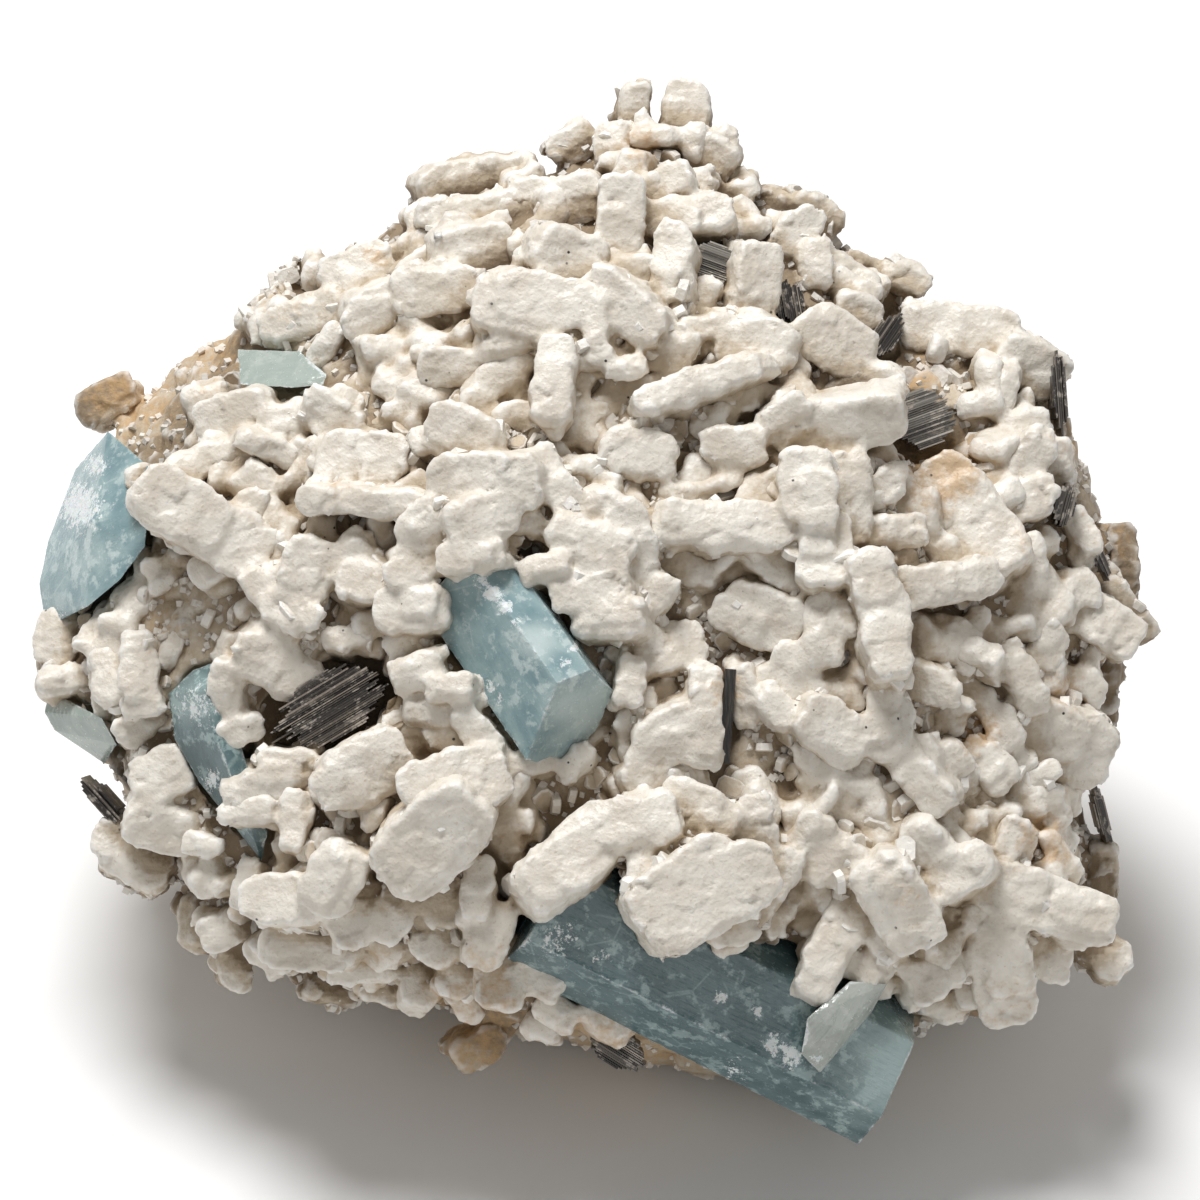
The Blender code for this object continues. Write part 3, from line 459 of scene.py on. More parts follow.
def feldspar_finish(name, unshaded_depth, tan_depth, dusty):
    """Milky white feldspar: painted shade in tan and brown deep in the crevices, on undersides and on
    the back, a painted highlight on convex rims, tan dust, rust in patches, black specks.
    """
    made = Finish(name)
    depth = made.carried("depth")
    edge = made.carried("edge")
    stain = made.carried("stain")
    cloud = made.noise(5.0, 4.0)
    fine = made.noise(0.9, 3.0)
    grit = made.noise(0.35, 2.0)
    milky = made.mix(cloud.within(0.35, 0.65), FELDSPAR_WHITE, FELDSPAR_MILK)
    # Painted shade: tan where the surface lies deep among the crystals and in creases, joined with real
    # tan dust mottling
    low = (depth + (cloud - 0.5) * 3.0 + (fine - 0.5) * 1.6).within(unshaded_depth, tan_depth)
    sheltered = edge.within(0.05, -0.45)
    dust_and_painted_shade = low * 0.8 + sheltered * 0.4 + dusty * fine.within(0.4, 0.75)
    body = made.mix(dust_and_painted_shade.within(0.1, 1.05), milky, FELDSPAR_TAN)
    # Painted shade: brown in the deepest places and creases
    deeper = (depth + (fine - 0.5) * 2.0).within(tan_depth - 0.5, tan_depth + 2.5)
    deep = (deeper * 0.9 + low * sheltered * 0.7 + grit.within(0.56, 0.75) * low * 0.3).within(0.1, 1.1)
    body = made.mix(deep, body, FELDSPAR_BROWN)
    rusty = (stain + (fine - 0.5) * 1.2 + (cloud - 0.5) * 0.8).within(0.35, 0.95)
    body = made.mix(rusty * 0.7, body, RUST)
    spots = made.cells(2.6)
    kept = made.noise(6.0, 2.0).within(0.52, 0.6)
    specks = spots.within(0.085, 0.05) * kept
    body = made.mix(specks, body, SPECK)
    pits = grit.within(0.58, 0.68) * fine.within(0.45, 0.62) * 0.45
    body = made.mix(pits, body, FELDSPAR_TAN)
    # Painted highlight: a paler colour on convex rims
    rim = edge.within(0.1, 0.4) * 0.6
    body = made.mix(rim, body, (0.86, 0.845, 0.81))
    relief = grit * 0.5 + fine * 0.9 + made.cells(0.8) * 0.5
    made.surface(
        Base_Color=body,
        Roughness=(0.42 + 0.3 * dust_and_painted_shade),
        Normal=made.bump(relief, 0.14),
    )
    made.surface(
        IOR=1.53, Subsurface_Weight=0.12, Subsurface_Radius=(1.0, 0.85, 0.7),
        Subsurface_Scale=1.2 * MM,
    )
    return made.material


def beryl_finish(name, tint, body, light, frost, density, clear):
    """Clear to cloudy beryl: veils inside, fine lengthwise lines, frosted and chipped in places."""
    made = Finish(name)
    frosted = made.carried("frost")
    pale = made.carried("pale")
    edge = made.carried("edge")
    cloud = made.noise(4.5, 4.0)
    veil = made.noise(2.2, 5.0, rough=0.65)
    fine = made.noise(0.6, 3.0)
    along = made.node("ShaderNodeAttribute", {"attribute_name": "grown"}).socket("Vector")
    lines = made.noise(0.45, 2.0, place=along)
    bands = made.noise(1.8, 3.0, place=along)
    colour = made.mix((cloud * 0.6 + bands * 0.4).within(0.36, 0.64), tint, body)
    milk = (pale * 0.75 + veil.within(0.5, 0.62) * 0.5 + (cloud - 0.5) * 0.5).within(0.02, 0.85)
    colour = made.mix(milk, colour, light)
    cracks = made.cells(5.0, "DISTANCE_TO_EDGE").within(0.03, 0.01) * cloud.within(0.5, 0.6)
    colour = made.mix(cracks * 0.4, colour, light)
    made.surface(
        Base_Color=colour,
        Roughness=0.10 + 0.24 * fine.within(0.35, 0.8),
        Normal=made.bump(lines * 0.7 + fine * 0.35, 0.08),
    )
    made.surface(IOR=1.577, Transmission_Weight=clear)
    white = made.node("ShaderNodeBsdfPrincipled", None, {
        "Base Color": (0.74, 0.78, 0.78, 1.0), "Roughness": 0.6, "Subsurface Weight": 0.2,
        "Subsurface Scale": 0.5 * MM,
        "Normal": made.bump(fine, 0.2),
    })
    ragged = made.noise(1.0, 6.0, rough=0.8)
    rough = (frosted + (ragged - 0.5) * 3.0).within(0.55, 0.75)
    # Worn, chipped edges turn white, which also paints a highlight along the rims
    wear_and_painted_highlight = edge.within(0.08, 0.2) * (ragged * 0.7 + cloud * 0.5).within(0.58, 0.68) * 0.8
    mask = made.node("ShaderNodeMath", {"operation": "MAXIMUM"}, {0: rough, 1: wear_and_painted_highlight}).value()
    both = made.node("ShaderNodeMixShader", None, {
        0: mask * frost, 1: made.shader.outputs[0], 2: white.socket(),
    })
    made.tree.links.new(both.socket(), made.output.inputs["Surface"])
    absorb = made.node("ShaderNodeVolumeAbsorption", None, {
        "Color": (*tint, 1.0), "Density": density,
    })
    made.tree.links.new(absorb.socket(), made.output.inputs["Volume"])
    return made.material


def mica_finish(name, dark, light):
    """Dark mica: each leaf a little lighter or darker, with light patches of wear and painted highlight.
    """
    made = Finish(name)
    leaf = made.carried("leaf")
    fine = made.noise(0.5, 3.0)
    cloud = made.noise(2.5, 2.0)
    colour = made.mix(leaf * leaf * leaf, dark, light)
    # Light patches: wear and painted highlights on the leaves
    wear_and_painted_highlight = (fine + cloud).within(1.02, 1.2) * 0.8
    colour = made.mix(wear_and_painted_highlight, colour, (0.50, 0.45, 0.39))
    made.surface(
        Base_Color=colour,
        Roughness=0.22 + 0.3 * fine,
        Metallic=0.25 * leaf,
        Normal=made.bump(fine, 0.06),
    )
    made.surface(Specular_IOR_Level=0.8)
    return made.material


def schorl_finish(name):
    """Glossy black schorl with fine lengthwise lines."""
    made = Finish(name)
    lines = made.noise(0.3, 2.0, place=made.place((1.0, 0.12, 0.12)))
    made.surface(
        Base_Color=made.mix(lines.within(0.4, 0.7), (0.02, 0.018, 0.016), (0.07, 0.06, 0.05)),
        Roughness=0.25 + 0.2 * lines,
        Normal=made.bump(lines, 0.06),
    )
    return made.material


# Meshes

def new_object(name, data):
    thing = bpy.data.objects.new(name, data)
    bpy.context.scene.collection.objects.link(thing)
    return thing


def from_bmesh(name, mesh):
    data = bpy.data.meshes.new(name)
    mesh.to_mesh(data)
    mesh.free()
    return new_object(name, data)


def settle(thing):
    """Replaces an object's mesh by the one that its modifiers make."""
    bpy.context.view_layer.update()
    graph = bpy.context.evaluated_depsgraph_get()
    data = bpy.data.meshes.new_from_object(thing.evaluated_get(graph))
    thing.modifiers.clear()
    thing.data = data
    return thing


def remesh(thing, grain):
    step = thing.modifiers.new("grain", "REMESH")
    step.mode = "VOXEL"
    step.voxel_size = grain
    step.use_smooth_shade = True
    return settle(thing)


def read(items, name, width):
    values = np.zeros(len(items) * width, np.float32)
    items.foreach_get(name, values)
    return values.reshape(-1, width) if width > 1 else values


def mesh_arrays(data):
    points = read(data.vertices, "co", 3).astype(float)
    edges = np.zeros(len(data.edges) * 2, np.int32)
    data.edges.foreach_get("vertices", edges)
    return points, edges.reshape(-1, 2)


def neighbour_mean(values, edges, count):
    """The mean of each point's neighbours."""
    total = np.zeros((count, values.shape[1]))
    links = np.bincount(edges.ravel(), minlength=count)[:, None]
    for column in range(values.shape[1]):
        total[:, column] = np.bincount(
            edges.ravel(), weights=values[edges[:, ::-1].ravel(), column], minlength=count
        )
    return total / np.maximum(links, 1)


def move_points(data, points):
    data.vertices.foreach_set("co", points.astype(np.float32).ravel())
    data.update()


def finish_with(thing, finish):
    """Gives an object this one finish."""
    thing.data.materials.clear()
    thing.data.materials.append(finish)
    return thing


def loft(mesh, rings):
    """Closes a stack of rings of points with sides and two flat ends."""
    mesh.faces.new(rings[0][::-1])
    mesh.faces.new(rings[-1])
    for near, far in zip(rings, rings[1:]):
        for i in range(len(near)):
            j = (i + 1) % len(near)
            mesh.faces.new((near[i], near[j], far[j], far[i]))


def squarish(angle, power):
    """The place at an angle round a rounded square, from -1 to 1 each way."""
    return tuple(math.copysign(abs(way) ** power, way) for way in (math.cos(angle), math.sin(angle)))


def soften(thing, rounds, amount=0.5):
    """Rounds edges by moving points toward their neighbours' mean."""
    points, edges = mesh_arrays(thing.data)
    for _ in range(rounds):
        points += (neighbour_mean(points, edges, len(points)) - points) * amount
    move_points(thing.data, points)


def carry(data, name, values):
    """Stores a number at each point of the mesh, for its finish."""
    layer = data.attributes.new(name, "FLOAT", "POINT")
    layer.data.foreach_set("value", np.asarray(values, np.float32))


def edge_values(data, rounds):
    """How far each point stands out of, or lies in, the surface round it, about -1 to 1."""
    points, edges = mesh_arrays(data)
    normals = read(data.vertices, "normal", 3).astype(float)
    smooth = points.copy()
    for _ in range(rounds):
        smooth = neighbour_mean(smooth, edges, len(points))
    step = np.linalg.norm(points[edges[:, 0]] - points[edges[:, 1]], axis=1).mean()
    return ((points - smooth) * normals).sum(axis=1) / step / math.sqrt(rounds)


def patches(across, down, places):
    """How strongly each point lies in any of the round patches of the sketch."""
    found = np.zeros(len(across))
    for at_x, at_y, reach, strength in places:
        near = ((across - at_x) ** 2 + (down - at_y) ** 2) / reach**2
        found = np.maximum(found, strength * np.exp(-near))
    return found


def grid_cells(across, down):
    """The cell of the sketch that each point lies in."""
    x = np.clip((across / SHELTER_CELL).astype(int), 0, SKETCH_WIDTH // SHELTER_CELL - 1)
    y = np.clip((down / SHELTER_CELL).astype(int), 0, SKETCH_WIDTH // SHELTER_CELL - 1)
    return y, x


def surroundings(things):
    """How far toward the eye the crystals round each cell of the sketch reach, in metres."""
    cells = SKETCH_WIDTH // SHELTER_CELL
    middles = (np.arange(cells) + 0.5) * SHELTER_CELL
    tops = ground(*np.meshgrid(middles, middles))
    for thing in things:
        across, down, lift = sketch_places(mesh_arrays(thing.data)[0])
        np.maximum.at(tops, grid_cells(across, down), lift + ground(across, down))
    weights = np.hanning(SHELTER_REACH * 2 + 3)[1:-1]
    weights /= weights.sum()
    for axis in (0, 1):
        tops = np.apply_along_axis(np.convolve, axis, tops, weights, "same")
    return tops


def carry_feldspar(thing, tops, rounds):
    """Gives a feldspar mesh the numbers that its finish reads, its edges found in this many rounds."""
    points, _ = mesh_arrays(thing.data)
    across, down, lift = sketch_places(points)
    normals = read(thing.data.vertices, "normal", 3).astype(float)
    facing = normals @ np.array(EYE_WAY)
    front = np.clip((lift / MM + FRONT_DEPTH) / FRONT_FADE, 0, 1) * np.clip(facing * 2 + 1.4, 0, 1)
    # How deep each point lies below the crystals round about, in mm, deeper on undersides and a fixed
    # depth on the sides and back: the finish paints shade by it
    depth = (tops[grid_cells(across, down)] - lift - ground(across, down)) / MM
    depth = np.clip(depth, -2, 12) + UNDERSIDE_SHADE * np.clip(0.2 - normals[:, 2], 0, 1)
    carry(thing.data, "depth", depth * front + BACK_SHADE * (1 - front))
    carry(thing.data, "stain", patches(across, down, STAINS))
    carry(thing.data, "edge", edge_values(thing.data, rounds))


# Geometry Nodes

class Growth:
    """A Geometry Nodes tree with named inputs, and the modifier that runs it."""

    def __init__(self, name):
        self.tree = bpy.data.node_groups.new(name, "GeometryNodeTree")
        self.tree.is_modifier = True
        self.tree.interface.new_socket("Geometry", in_out="INPUT", socket_type="NodeSocketGeometry")
        self.tree.interface.new_socket("Geometry", in_out="OUTPUT", socket_type="NodeSocketGeometry")
        self.start = self.tree.nodes.new("NodeGroupInput")
        self.end = self.tree.nodes.new("NodeGroupOutput")

    def given(self, name, kind="Float"):
        """Adds a named input and returns its socket."""
        self.tree.interface.new_socket(name, in_out="INPUT", socket_type="NodeSocket" + kind)
        return self.start.outputs[name]

    def node(self, kind, settings=None, inputs=None):
        made = self.tree.nodes.new(kind)
        for key, given in (settings or {}).items():
            setattr(made, key, given)
        connect(self.tree, made, inputs or {})
        return made

    def math(self, operation, first, second=0.0):
        return self.node("ShaderNodeMath", {"operation": operation}, {0: first, 1: second}).outputs[0]

    def vector(self, operation, first, second):
        made = self.node("ShaderNodeVectorMath", {"operation": operation}, {0: first, 1: second})
        return made.outputs[0]

    def random_vector(self, low, high, seed):
        """A vector between two corners, another one at each point."""
        inputs = {"Min": low, "Max": high, "Seed": seed}
        return self.node("FunctionNodeRandomValue", {"data_type": "FLOAT_VECTOR"}, inputs).outputs[0]

    def finish(self, geometry):
        self.tree.links.new(geometry, self.end.inputs[0])
        return self.tree

    def realized(self, geometry, finish):
        """Ends the tree with real meshes that have this finish."""
        real = self.node("GeometryNodeRealizeInstances", None, {"Geometry": geometry})
        done = self.node("GeometryNodeSetMaterial", None, {
            "Geometry": real.outputs[0], "Material": finish,
        })
        return self.finish(done.outputs[0])

    @staticmethod
    def run(thing, tree, values):
        """Adds the tree to an object with its inputs set, and settles the result."""
        step = thing.modifiers.new(tree.name, "NODES")
        step.node_group = tree
        for item in tree.interface.items_tree:
            if item.in_out == "INPUT" and item.name in values:
                step[item.identifier] = values[item.name]
        return settle(thing)


def relief_tree():
    """Moves a surface in and out by cloudy noise and by flat, tilted growth facets."""
    grow = Growth("relief")
    cloud_size = grow.given("Cloud size")
    cloud_height = grow.given("Cloud height")
    facet_size = grow.given("Facet size")
    facet_tilt = grow.given("Facet tilt")
    facet_step = grow.given("Facet step")
    sink = grow.given("Sink")
    place = grow.node("GeometryNodeInputPosition").outputs[0]
    normal = grow.node("GeometryNodeInputNormal").outputs[0]
    cloud = grow.node("ShaderNodeTexNoise", None, {
        "Vector": place, "Scale": grow.math("DIVIDE", 1.0, cloud_size), "Detail": 3.0,
    }).outputs[0]
    cell = grow.node("ShaderNodeTexVoronoi", {"feature": "F1"}, {
        "Vector": place, "Scale": grow.math("DIVIDE", 1.0, facet_size),
    })
    from_middle = grow.vector("SUBTRACT", place, cell.outputs["Position"])
    chance = grow.vector("SUBTRACT", cell.outputs["Color"], (0.5, 0.5, 0.5))
    slant = grow.node("ShaderNodeVectorMath", {"operation": "DOT_PRODUCT"}, {
        0: from_middle, 1: chance,
    }).outputs["Value"]
    level = grow.node("ShaderNodeSeparateXYZ", None, {0: chance}).outputs[0]
    rise = grow.math("MULTIPLY", grow.math("SUBTRACT", cloud, 0.5), cloud_height)
    tilt = grow.math("MULTIPLY", slant, facet_tilt)
    facet = grow.math("ADD", tilt, grow.math("MULTIPLY", level, facet_step))
    height = grow.math("SUBTRACT", grow.math("ADD", rise, facet), sink)
    offset = grow.node("ShaderNodeVectorMath", {"operation": "SCALE"}, {0: normal, "Scale": height})
    moved = grow.node("GeometryNodeSetPosition", None, {
        "Geometry": grow.start.outputs[0], "Offset": offset.outputs[0],
    })
    return grow.finish(moved.outputs[0])


def druse_tree(name):
    """Scatters small crystals over a surface, where its carried share says how many."""
    grow = Growth(name)
    crystal = grow.given("Crystal", "Object")
    finish = grow.given("Finish", "Material")
    density = grow.given("Crystals per square metre")
    smallest = grow.given("Smallest")
    largest = grow.given("Largest")
    upright = grow.given("Upright share")
    seed = grow.given("Seed", "Int")
    share = grow.node("GeometryNodeInputNamedAttribute", {"data_type": "FLOAT"}, {"Name": "share"})
    dense = grow.math("MULTIPLY", density, share.outputs["Attribute"])
    points = grow.node("GeometryNodeDistributePointsOnFaces", None, {
        "Mesh": grow.start.outputs[0], "Density": dense, "Seed": seed,
    })
    facing = grow.node("FunctionNodeAlignRotationToVector", {"axis": "Z"}, {
        "Vector": points.outputs["Normal"],
    }).outputs[0]
    tumbled = grow.random_vector((-math.pi,) * 3, (math.pi,) * 3, seed)
    tumble = grow.node("FunctionNodeEulerToRotation", None, {0: tumbled}).outputs[0]
    leaned = grow.random_vector((-0.7, -0.7, -math.pi), (0.7, 0.7, math.pi), seed)
    lean = grow.node("FunctionNodeEulerToRotation", None, {0: leaned}).outputs[0]
    stood = grow.node("FunctionNodeRotateRotation", {"rotation_space": "LOCAL"}, {
        "Rotation": facing, "Rotate By": lean,
    }).outputs[0]
    stands = grow.node("FunctionNodeRandomValue", {"data_type": "BOOLEAN"}, {
        "Probability": upright, "Seed": seed,
    })
    turn = grow.node("GeometryNodeSwitch", {"input_type": "ROTATION"}, {
        "Switch": next(s for s in stands.outputs if s.type == "BOOLEAN"),
        "False": tumble, "True": stood,
    }).outputs[0]
    size = grow.node("FunctionNodeRandomValue", {"data_type": "FLOAT"}, {"Seed": seed})
    low, high = [s for s in size.inputs if s.type == "VALUE"][:2]
    grow.tree.links.new(smallest, low)
    grow.tree.links.new(largest, high)
    chosen = next(s for s in size.outputs if s.type == "VALUE")
    shape = grow.node("GeometryNodeObjectInfo", {"transform_space": "ORIGINAL"}, {"Object": crystal})
    placed = grow.node("GeometryNodeInstanceOnPoints", None, {
        "Points": points.outputs["Points"], "Instance": shape.outputs["Geometry"],
        "Rotation": turn, "Scale": chosen,
    })
    return grow.realized(placed.outputs[0], finish)


def leaves_tree():
    """Stacks thin leaves along Z, each with its own reach, shift and brightness."""
    grow = Growth("mica leaves")
    finish = grow.given("Finish", "Material")
    length = grow.given("Length")
    width = grow.given("Width")
    height = grow.given("Height")
    leaves = grow.given("Leaves", "Int")
    seed = grow.given("Seed", "Int")
    pitch = grow.math("DIVIDE", height, leaves)
    line = grow.node("GeometryNodeMeshLine", {"mode": "OFFSET"}, {"Count": leaves})
    rise = grow.node("ShaderNodeCombineXYZ", None, {"Z": pitch}).outputs[0]
    grow.tree.links.new(rise, line.inputs["Offset"])
    index = grow.node("GeometryNodeInputIndex").outputs[0]
    middle = grow.math("SUBTRACT", grow.math("DIVIDE", index, leaves), 0.47)
    bulge = grow.math("SUBTRACT", 1.0, grow.math("MULTIPLY", 2.6, grow.math("MULTIPLY", middle, middle)))
    uneven = grow.random_vector((0.74, 0.8, 0.5), (1.0, 1.0, 0.98), seed)
    scale = grow.node("ShaderNodeVectorMath", {"operation": "MULTIPLY"}, {0: uneven}).outputs[0]
    reach = grow.node("ShaderNodeCombineXYZ", None, {
        "X": grow.math("MULTIPLY", length, bulge), "Y": width, "Z": pitch,
    }).outputs[0]
    grow.tree.links.new(reach, scale.node.inputs[1])
    shift = grow.random_vector((-0.07, -0.05, 0.0), (0.07, 0.05, 0.0), grow.math("ADD", seed, 5.0))
    moved = grow.node("ShaderNodeVectorMath", {"operation": "MULTIPLY"}, {0: shift, 1: reach})
    spread = grow.node("GeometryNodeSetPosition", None, {
        "Geometry": line.outputs[0], "Offset": moved.outputs[0],
    })
    leaf = grow.node("GeometryNodeMeshCube", None, {
        "Size": (1, 1, 1), "Vertices X": 14, "Vertices Y": 6, "Vertices Z": 2,
    })
    bright = grow.node("FunctionNodeRandomValue", {"data_type": "FLOAT"}, {
        "Seed": grow.math("ADD", seed, 9.0),
    })
    placed = grow.node("GeometryNodeInstanceOnPoints", None, {
        "Points": spread.outputs[0], "Instance": leaf.outputs[0], "Scale": scale,
    })
    marked = grow.node("GeometryNodeStoreNamedAttribute", {
        "data_type": "FLOAT", "domain": "INSTANCE",
    }, {"Geometry": placed.outputs[0], "Name": "leaf"})
    value = next(s for s in marked.inputs if s.name == "Value" and s.type == "VALUE")
    grow.tree.links.new(next(s for s in bright.outputs if s.type == "VALUE"), value)
    return grow.realized(marked.outputs[0], finish)


# Feldspar

def add_plate(mesh, place, axes, size, chance):
    """Adds one plate: a scalloped outline of small lobes, and a narrow bevel on its outer rim."""
    length, breadth, thickness = size
    lobes = max(5, round(2 * (length + breadth) / LOBE_WIDTH))
    outline = []
    for i in range(lobes):
        out = chance.uniform(-0.5, 0.5) * LOBE_DEPTH
        for part, inward in ((0.0, LOBE_DEPTH), (0.3, 0.0), (0.7, 0.0)):
            x, y = squarish(math.tau * (i + part) / lobes, PLATE_SQUARENESS)
            outline.append((x, y, out - inward))
    slope = chance.uniform(-0.1, 0.1)
    bevel = min(PLATE_BEVEL, thickness * 0.3)
    rings = []
    for level, inset in ((-thickness / 2, 0.0), (thickness / 2 - bevel, 0.0), (thickness / 2, bevel)):
        ring = []
        for x, y, out in outline:
            along = x * max(length / 2 + out - inset, length * 0.2)
            sideways = y * max(breadth / 2 + out - inset, breadth * 0.2)
            rise = level + slope * along * (level / thickness + 0.5)
            corner = axes[0] * along + axes[1] * sideways + axes[2] * rise
            ring.append(mesh.verts.new(place + corner))
        rings.append(ring)
    loft(mesh, rings)


def tilted(axes, chance, degrees):
    """The same ways, turned a little about each of them."""
    turn = Matrix.Identity(3)
    for way in axes:
        turn = turn @ Matrix.Rotation(math.radians(chance.uniform(-degrees, degrees)), 3, way)
    return tuple(turn @ way for way in axes)


def add_crystal(mesh, shape):
    """One feldspar crystal: a bar of plates that overlap, with terraces, and nubs at its rim."""
    across, down, length, breadth, turn, height = shape
    chance = random.Random(across * SKETCH_WIDTH + down)
    lean = math.radians(chance.uniform(-CRYSTAL_TILT, CRYSTAL_TILT))
    roll = math.radians(chance.uniform(-CRYSTAL_TILT, CRYSTAL_TILT))
    along, side, out = sketch_axes(math.radians(turn), lean, roll)
    axes = (along, side, out)
    thickness = max(breadth * CRYSTAL_FLATNESS, CRYSTAL_THINNEST) * SQUARE + CRYSTAL_ROOT
    place = spot(across, down, height * MM - thickness * CRYSTAL_SUNK_SHARE)
    long, wide = length * SQUARE, breadth * SQUARE
    add_plate(mesh, place, axes, (long, wide * 0.96, thickness * 0.94), chance)
    count = max(1, round(long / wide))
    for i in range(count):
        at = ((i + 0.5) / count - 0.5) * long * 0.8
        size = wide * chance.uniform(0.86, 1.08)
        middle = place + along * at + side * wide * chance.uniform(-0.08, 0.08)
        middle += out * thickness * chance.uniform(-0.1, 0.08)
        ways = tilted(axes, chance, 5)
        add_plate(mesh, middle, ways, (size * chance.uniform(1.1, 1.6), size, thickness), chance)
    for _ in range(count):
        x, y = chance.uniform(-0.3, 0.3), chance.uniform(-0.2, 0.2)
        size = wide * chance.uniform(0.6, 0.85)
        middle = place + along * x * long + side * y * wide + out * thickness * 0.46
        ways = tilted(axes, chance, 4)
        flat = (size * chance.uniform(1.2, 2.0), size, thickness * chance.uniform(0.14, 0.24))
        add_plate(mesh, middle, ways, flat, chance)
    for _ in range(count + 1):
        x, y = squarish(chance.uniform(0, math.tau), NUB_SQUARENESS)
        size = chance.uniform(*NUB_SIZE) * MM
        middle = place + along * (x * long * NUB_REACH) + side * (y * wide * NUB_REACH)
        middle += out * thickness * chance.uniform(-0.45, 0.1)
        ways = tilted(axes, chance, 22)
        add_plate(mesh, middle, ways, (size * 1.4, size, size * chance.uniform(0.6, 1.0)), chance)


def gap_crystals(half):
    """Smaller crystals for the gaps between the large ones, on one half of the face."""
    chance = random.Random(FILL_SEED + half)
    large = np.array([shape for region in CRYSTALS.values() for shape in region], float)
    found = []
    for row in range(0, SKETCH_WIDTH, FILL_STEP):
        for column in range(half * SKETCH_WIDTH // 2, (half + 1) * SKETCH_WIDTH // 2, FILL_STEP):
            across = column + chance.uniform(0, FILL_STEP)
            down = row + chance.uniform(0, FILL_STEP)
            size = chance.uniform(*FILL_SIZE)
            shape = (round(across), round(down), size, size * chance.uniform(0.55, 0.9),
                     chance.uniform(0, 180), chance.uniform(*FILL_HEIGHT))
            offset = np.array((across, down)) - SKETCH_MIDDLE
            degree = math.degrees(math.atan2(offset[1], offset[0]))
            share = np.hypot(*offset) / np.interp(degree, np.arange(-180, 181), REACHES)
            apart = np.hypot(large[:, 0] - across, large[:, 1] - down)
            grainy = patches(np.array([across]), np.array([down]), STAINS)[0] > GRAINY_STAIN
            free = (apart > large[:, 3] / 2).all() and not (grainy and share < GRAINY_REACH)
            if share < FILL_REACH and free:
                near = min(OTHER_SOLIDS.find_nearest(spot(across, down, up))[3] for up in FILL_PROBES)
                held = FELDSPAR_SOLID.find_nearest(spot(across, down))[3] < FILL_HOLD
                if near > FILL_GAP and held:
                    found.append(shape)
    return found


def crystal_cluster(name, shapes, grain, relief, finish):
    """Feldspar crystals that have grown together."""
    mesh = bmesh.new()
    for shape in shapes:
        add_crystal(mesh, shape)
    thing = from_bmesh(name, mesh)
    remesh(thing, grain)
    soften(thing, 1, 0.3)
    Growth.run(thing, relief, {
        "Cloud size": 1.8 * MM, "Cloud height": 0.16 * MM,
        "Facet size": 2.8 * MM, "Facet tilt": 0.16, "Facet step": 0.16 * MM, "Sink": 0.0,
    })
    return finish_with(thing, finish)


def merged_copy(node, name):
    """A copy of a solid of the frame, with its loose triangles joined."""
    mesh = bmesh.new()
    mesh.from_mesh(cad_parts[node].data)
    bmesh.ops.remove_doubles(mesh, verts=mesh.verts, dist=0.001 * MM)
    return from_bmesh(name, mesh)


def rock(relief, finish):
    """The broken, granular rock between and behind the crystals."""
    thing = merged_copy("feldspar_matrix", "feldspar_rock")
    remesh(thing, ROCK_GRAIN)
    soften(thing, 2)
    Growth.run(thing, relief, {
        "Cloud size": 7.0 * MM, "Cloud height": 1.6 * MM,
        "Facet size": 3.4 * MM, "Facet tilt": 0.5, "Facet step": 0.9 * MM, "Sink": 1.0 * MM,
    })
    points, _ = mesh_arrays(thing.data)
    points[:, 2] = np.maximum(points[:, 2], 0.0)
    move_points(thing.data, points)
    return finish_with(thing, finish)


def seed_crystal(name, outline, levels, length, breadth, thickness):
    """A small flat-topped crystal, about one unit across."""
    mesh = bmesh.new()
    rings = []
    for level, shrink in levels:
        rings.append([
            mesh.verts.new((x * length * shrink, y * breadth * shrink, level * thickness))
            for x, y in outline
        ])
    loft(mesh, rings)
    return from_bmesh(name, mesh)


def solids_tree(nodes):
    """Finds the nearest place on some of the frame's solids."""
    corners, faces = [], []
    for node in nodes:
        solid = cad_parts[node].data
        first = len(corners)
        corners += [tuple(corner.co) for corner in solid.vertices]
        faces += [[first + i for i in face.vertices] for face in solid.polygons]
    return BVHTree.FromPolygons(corners, faces)


FELDSPAR_SOLID = solids_tree(["feldspar_matrix"])
OTHER_SOLIDS = solids_tree([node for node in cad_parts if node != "feldspar_matrix"])


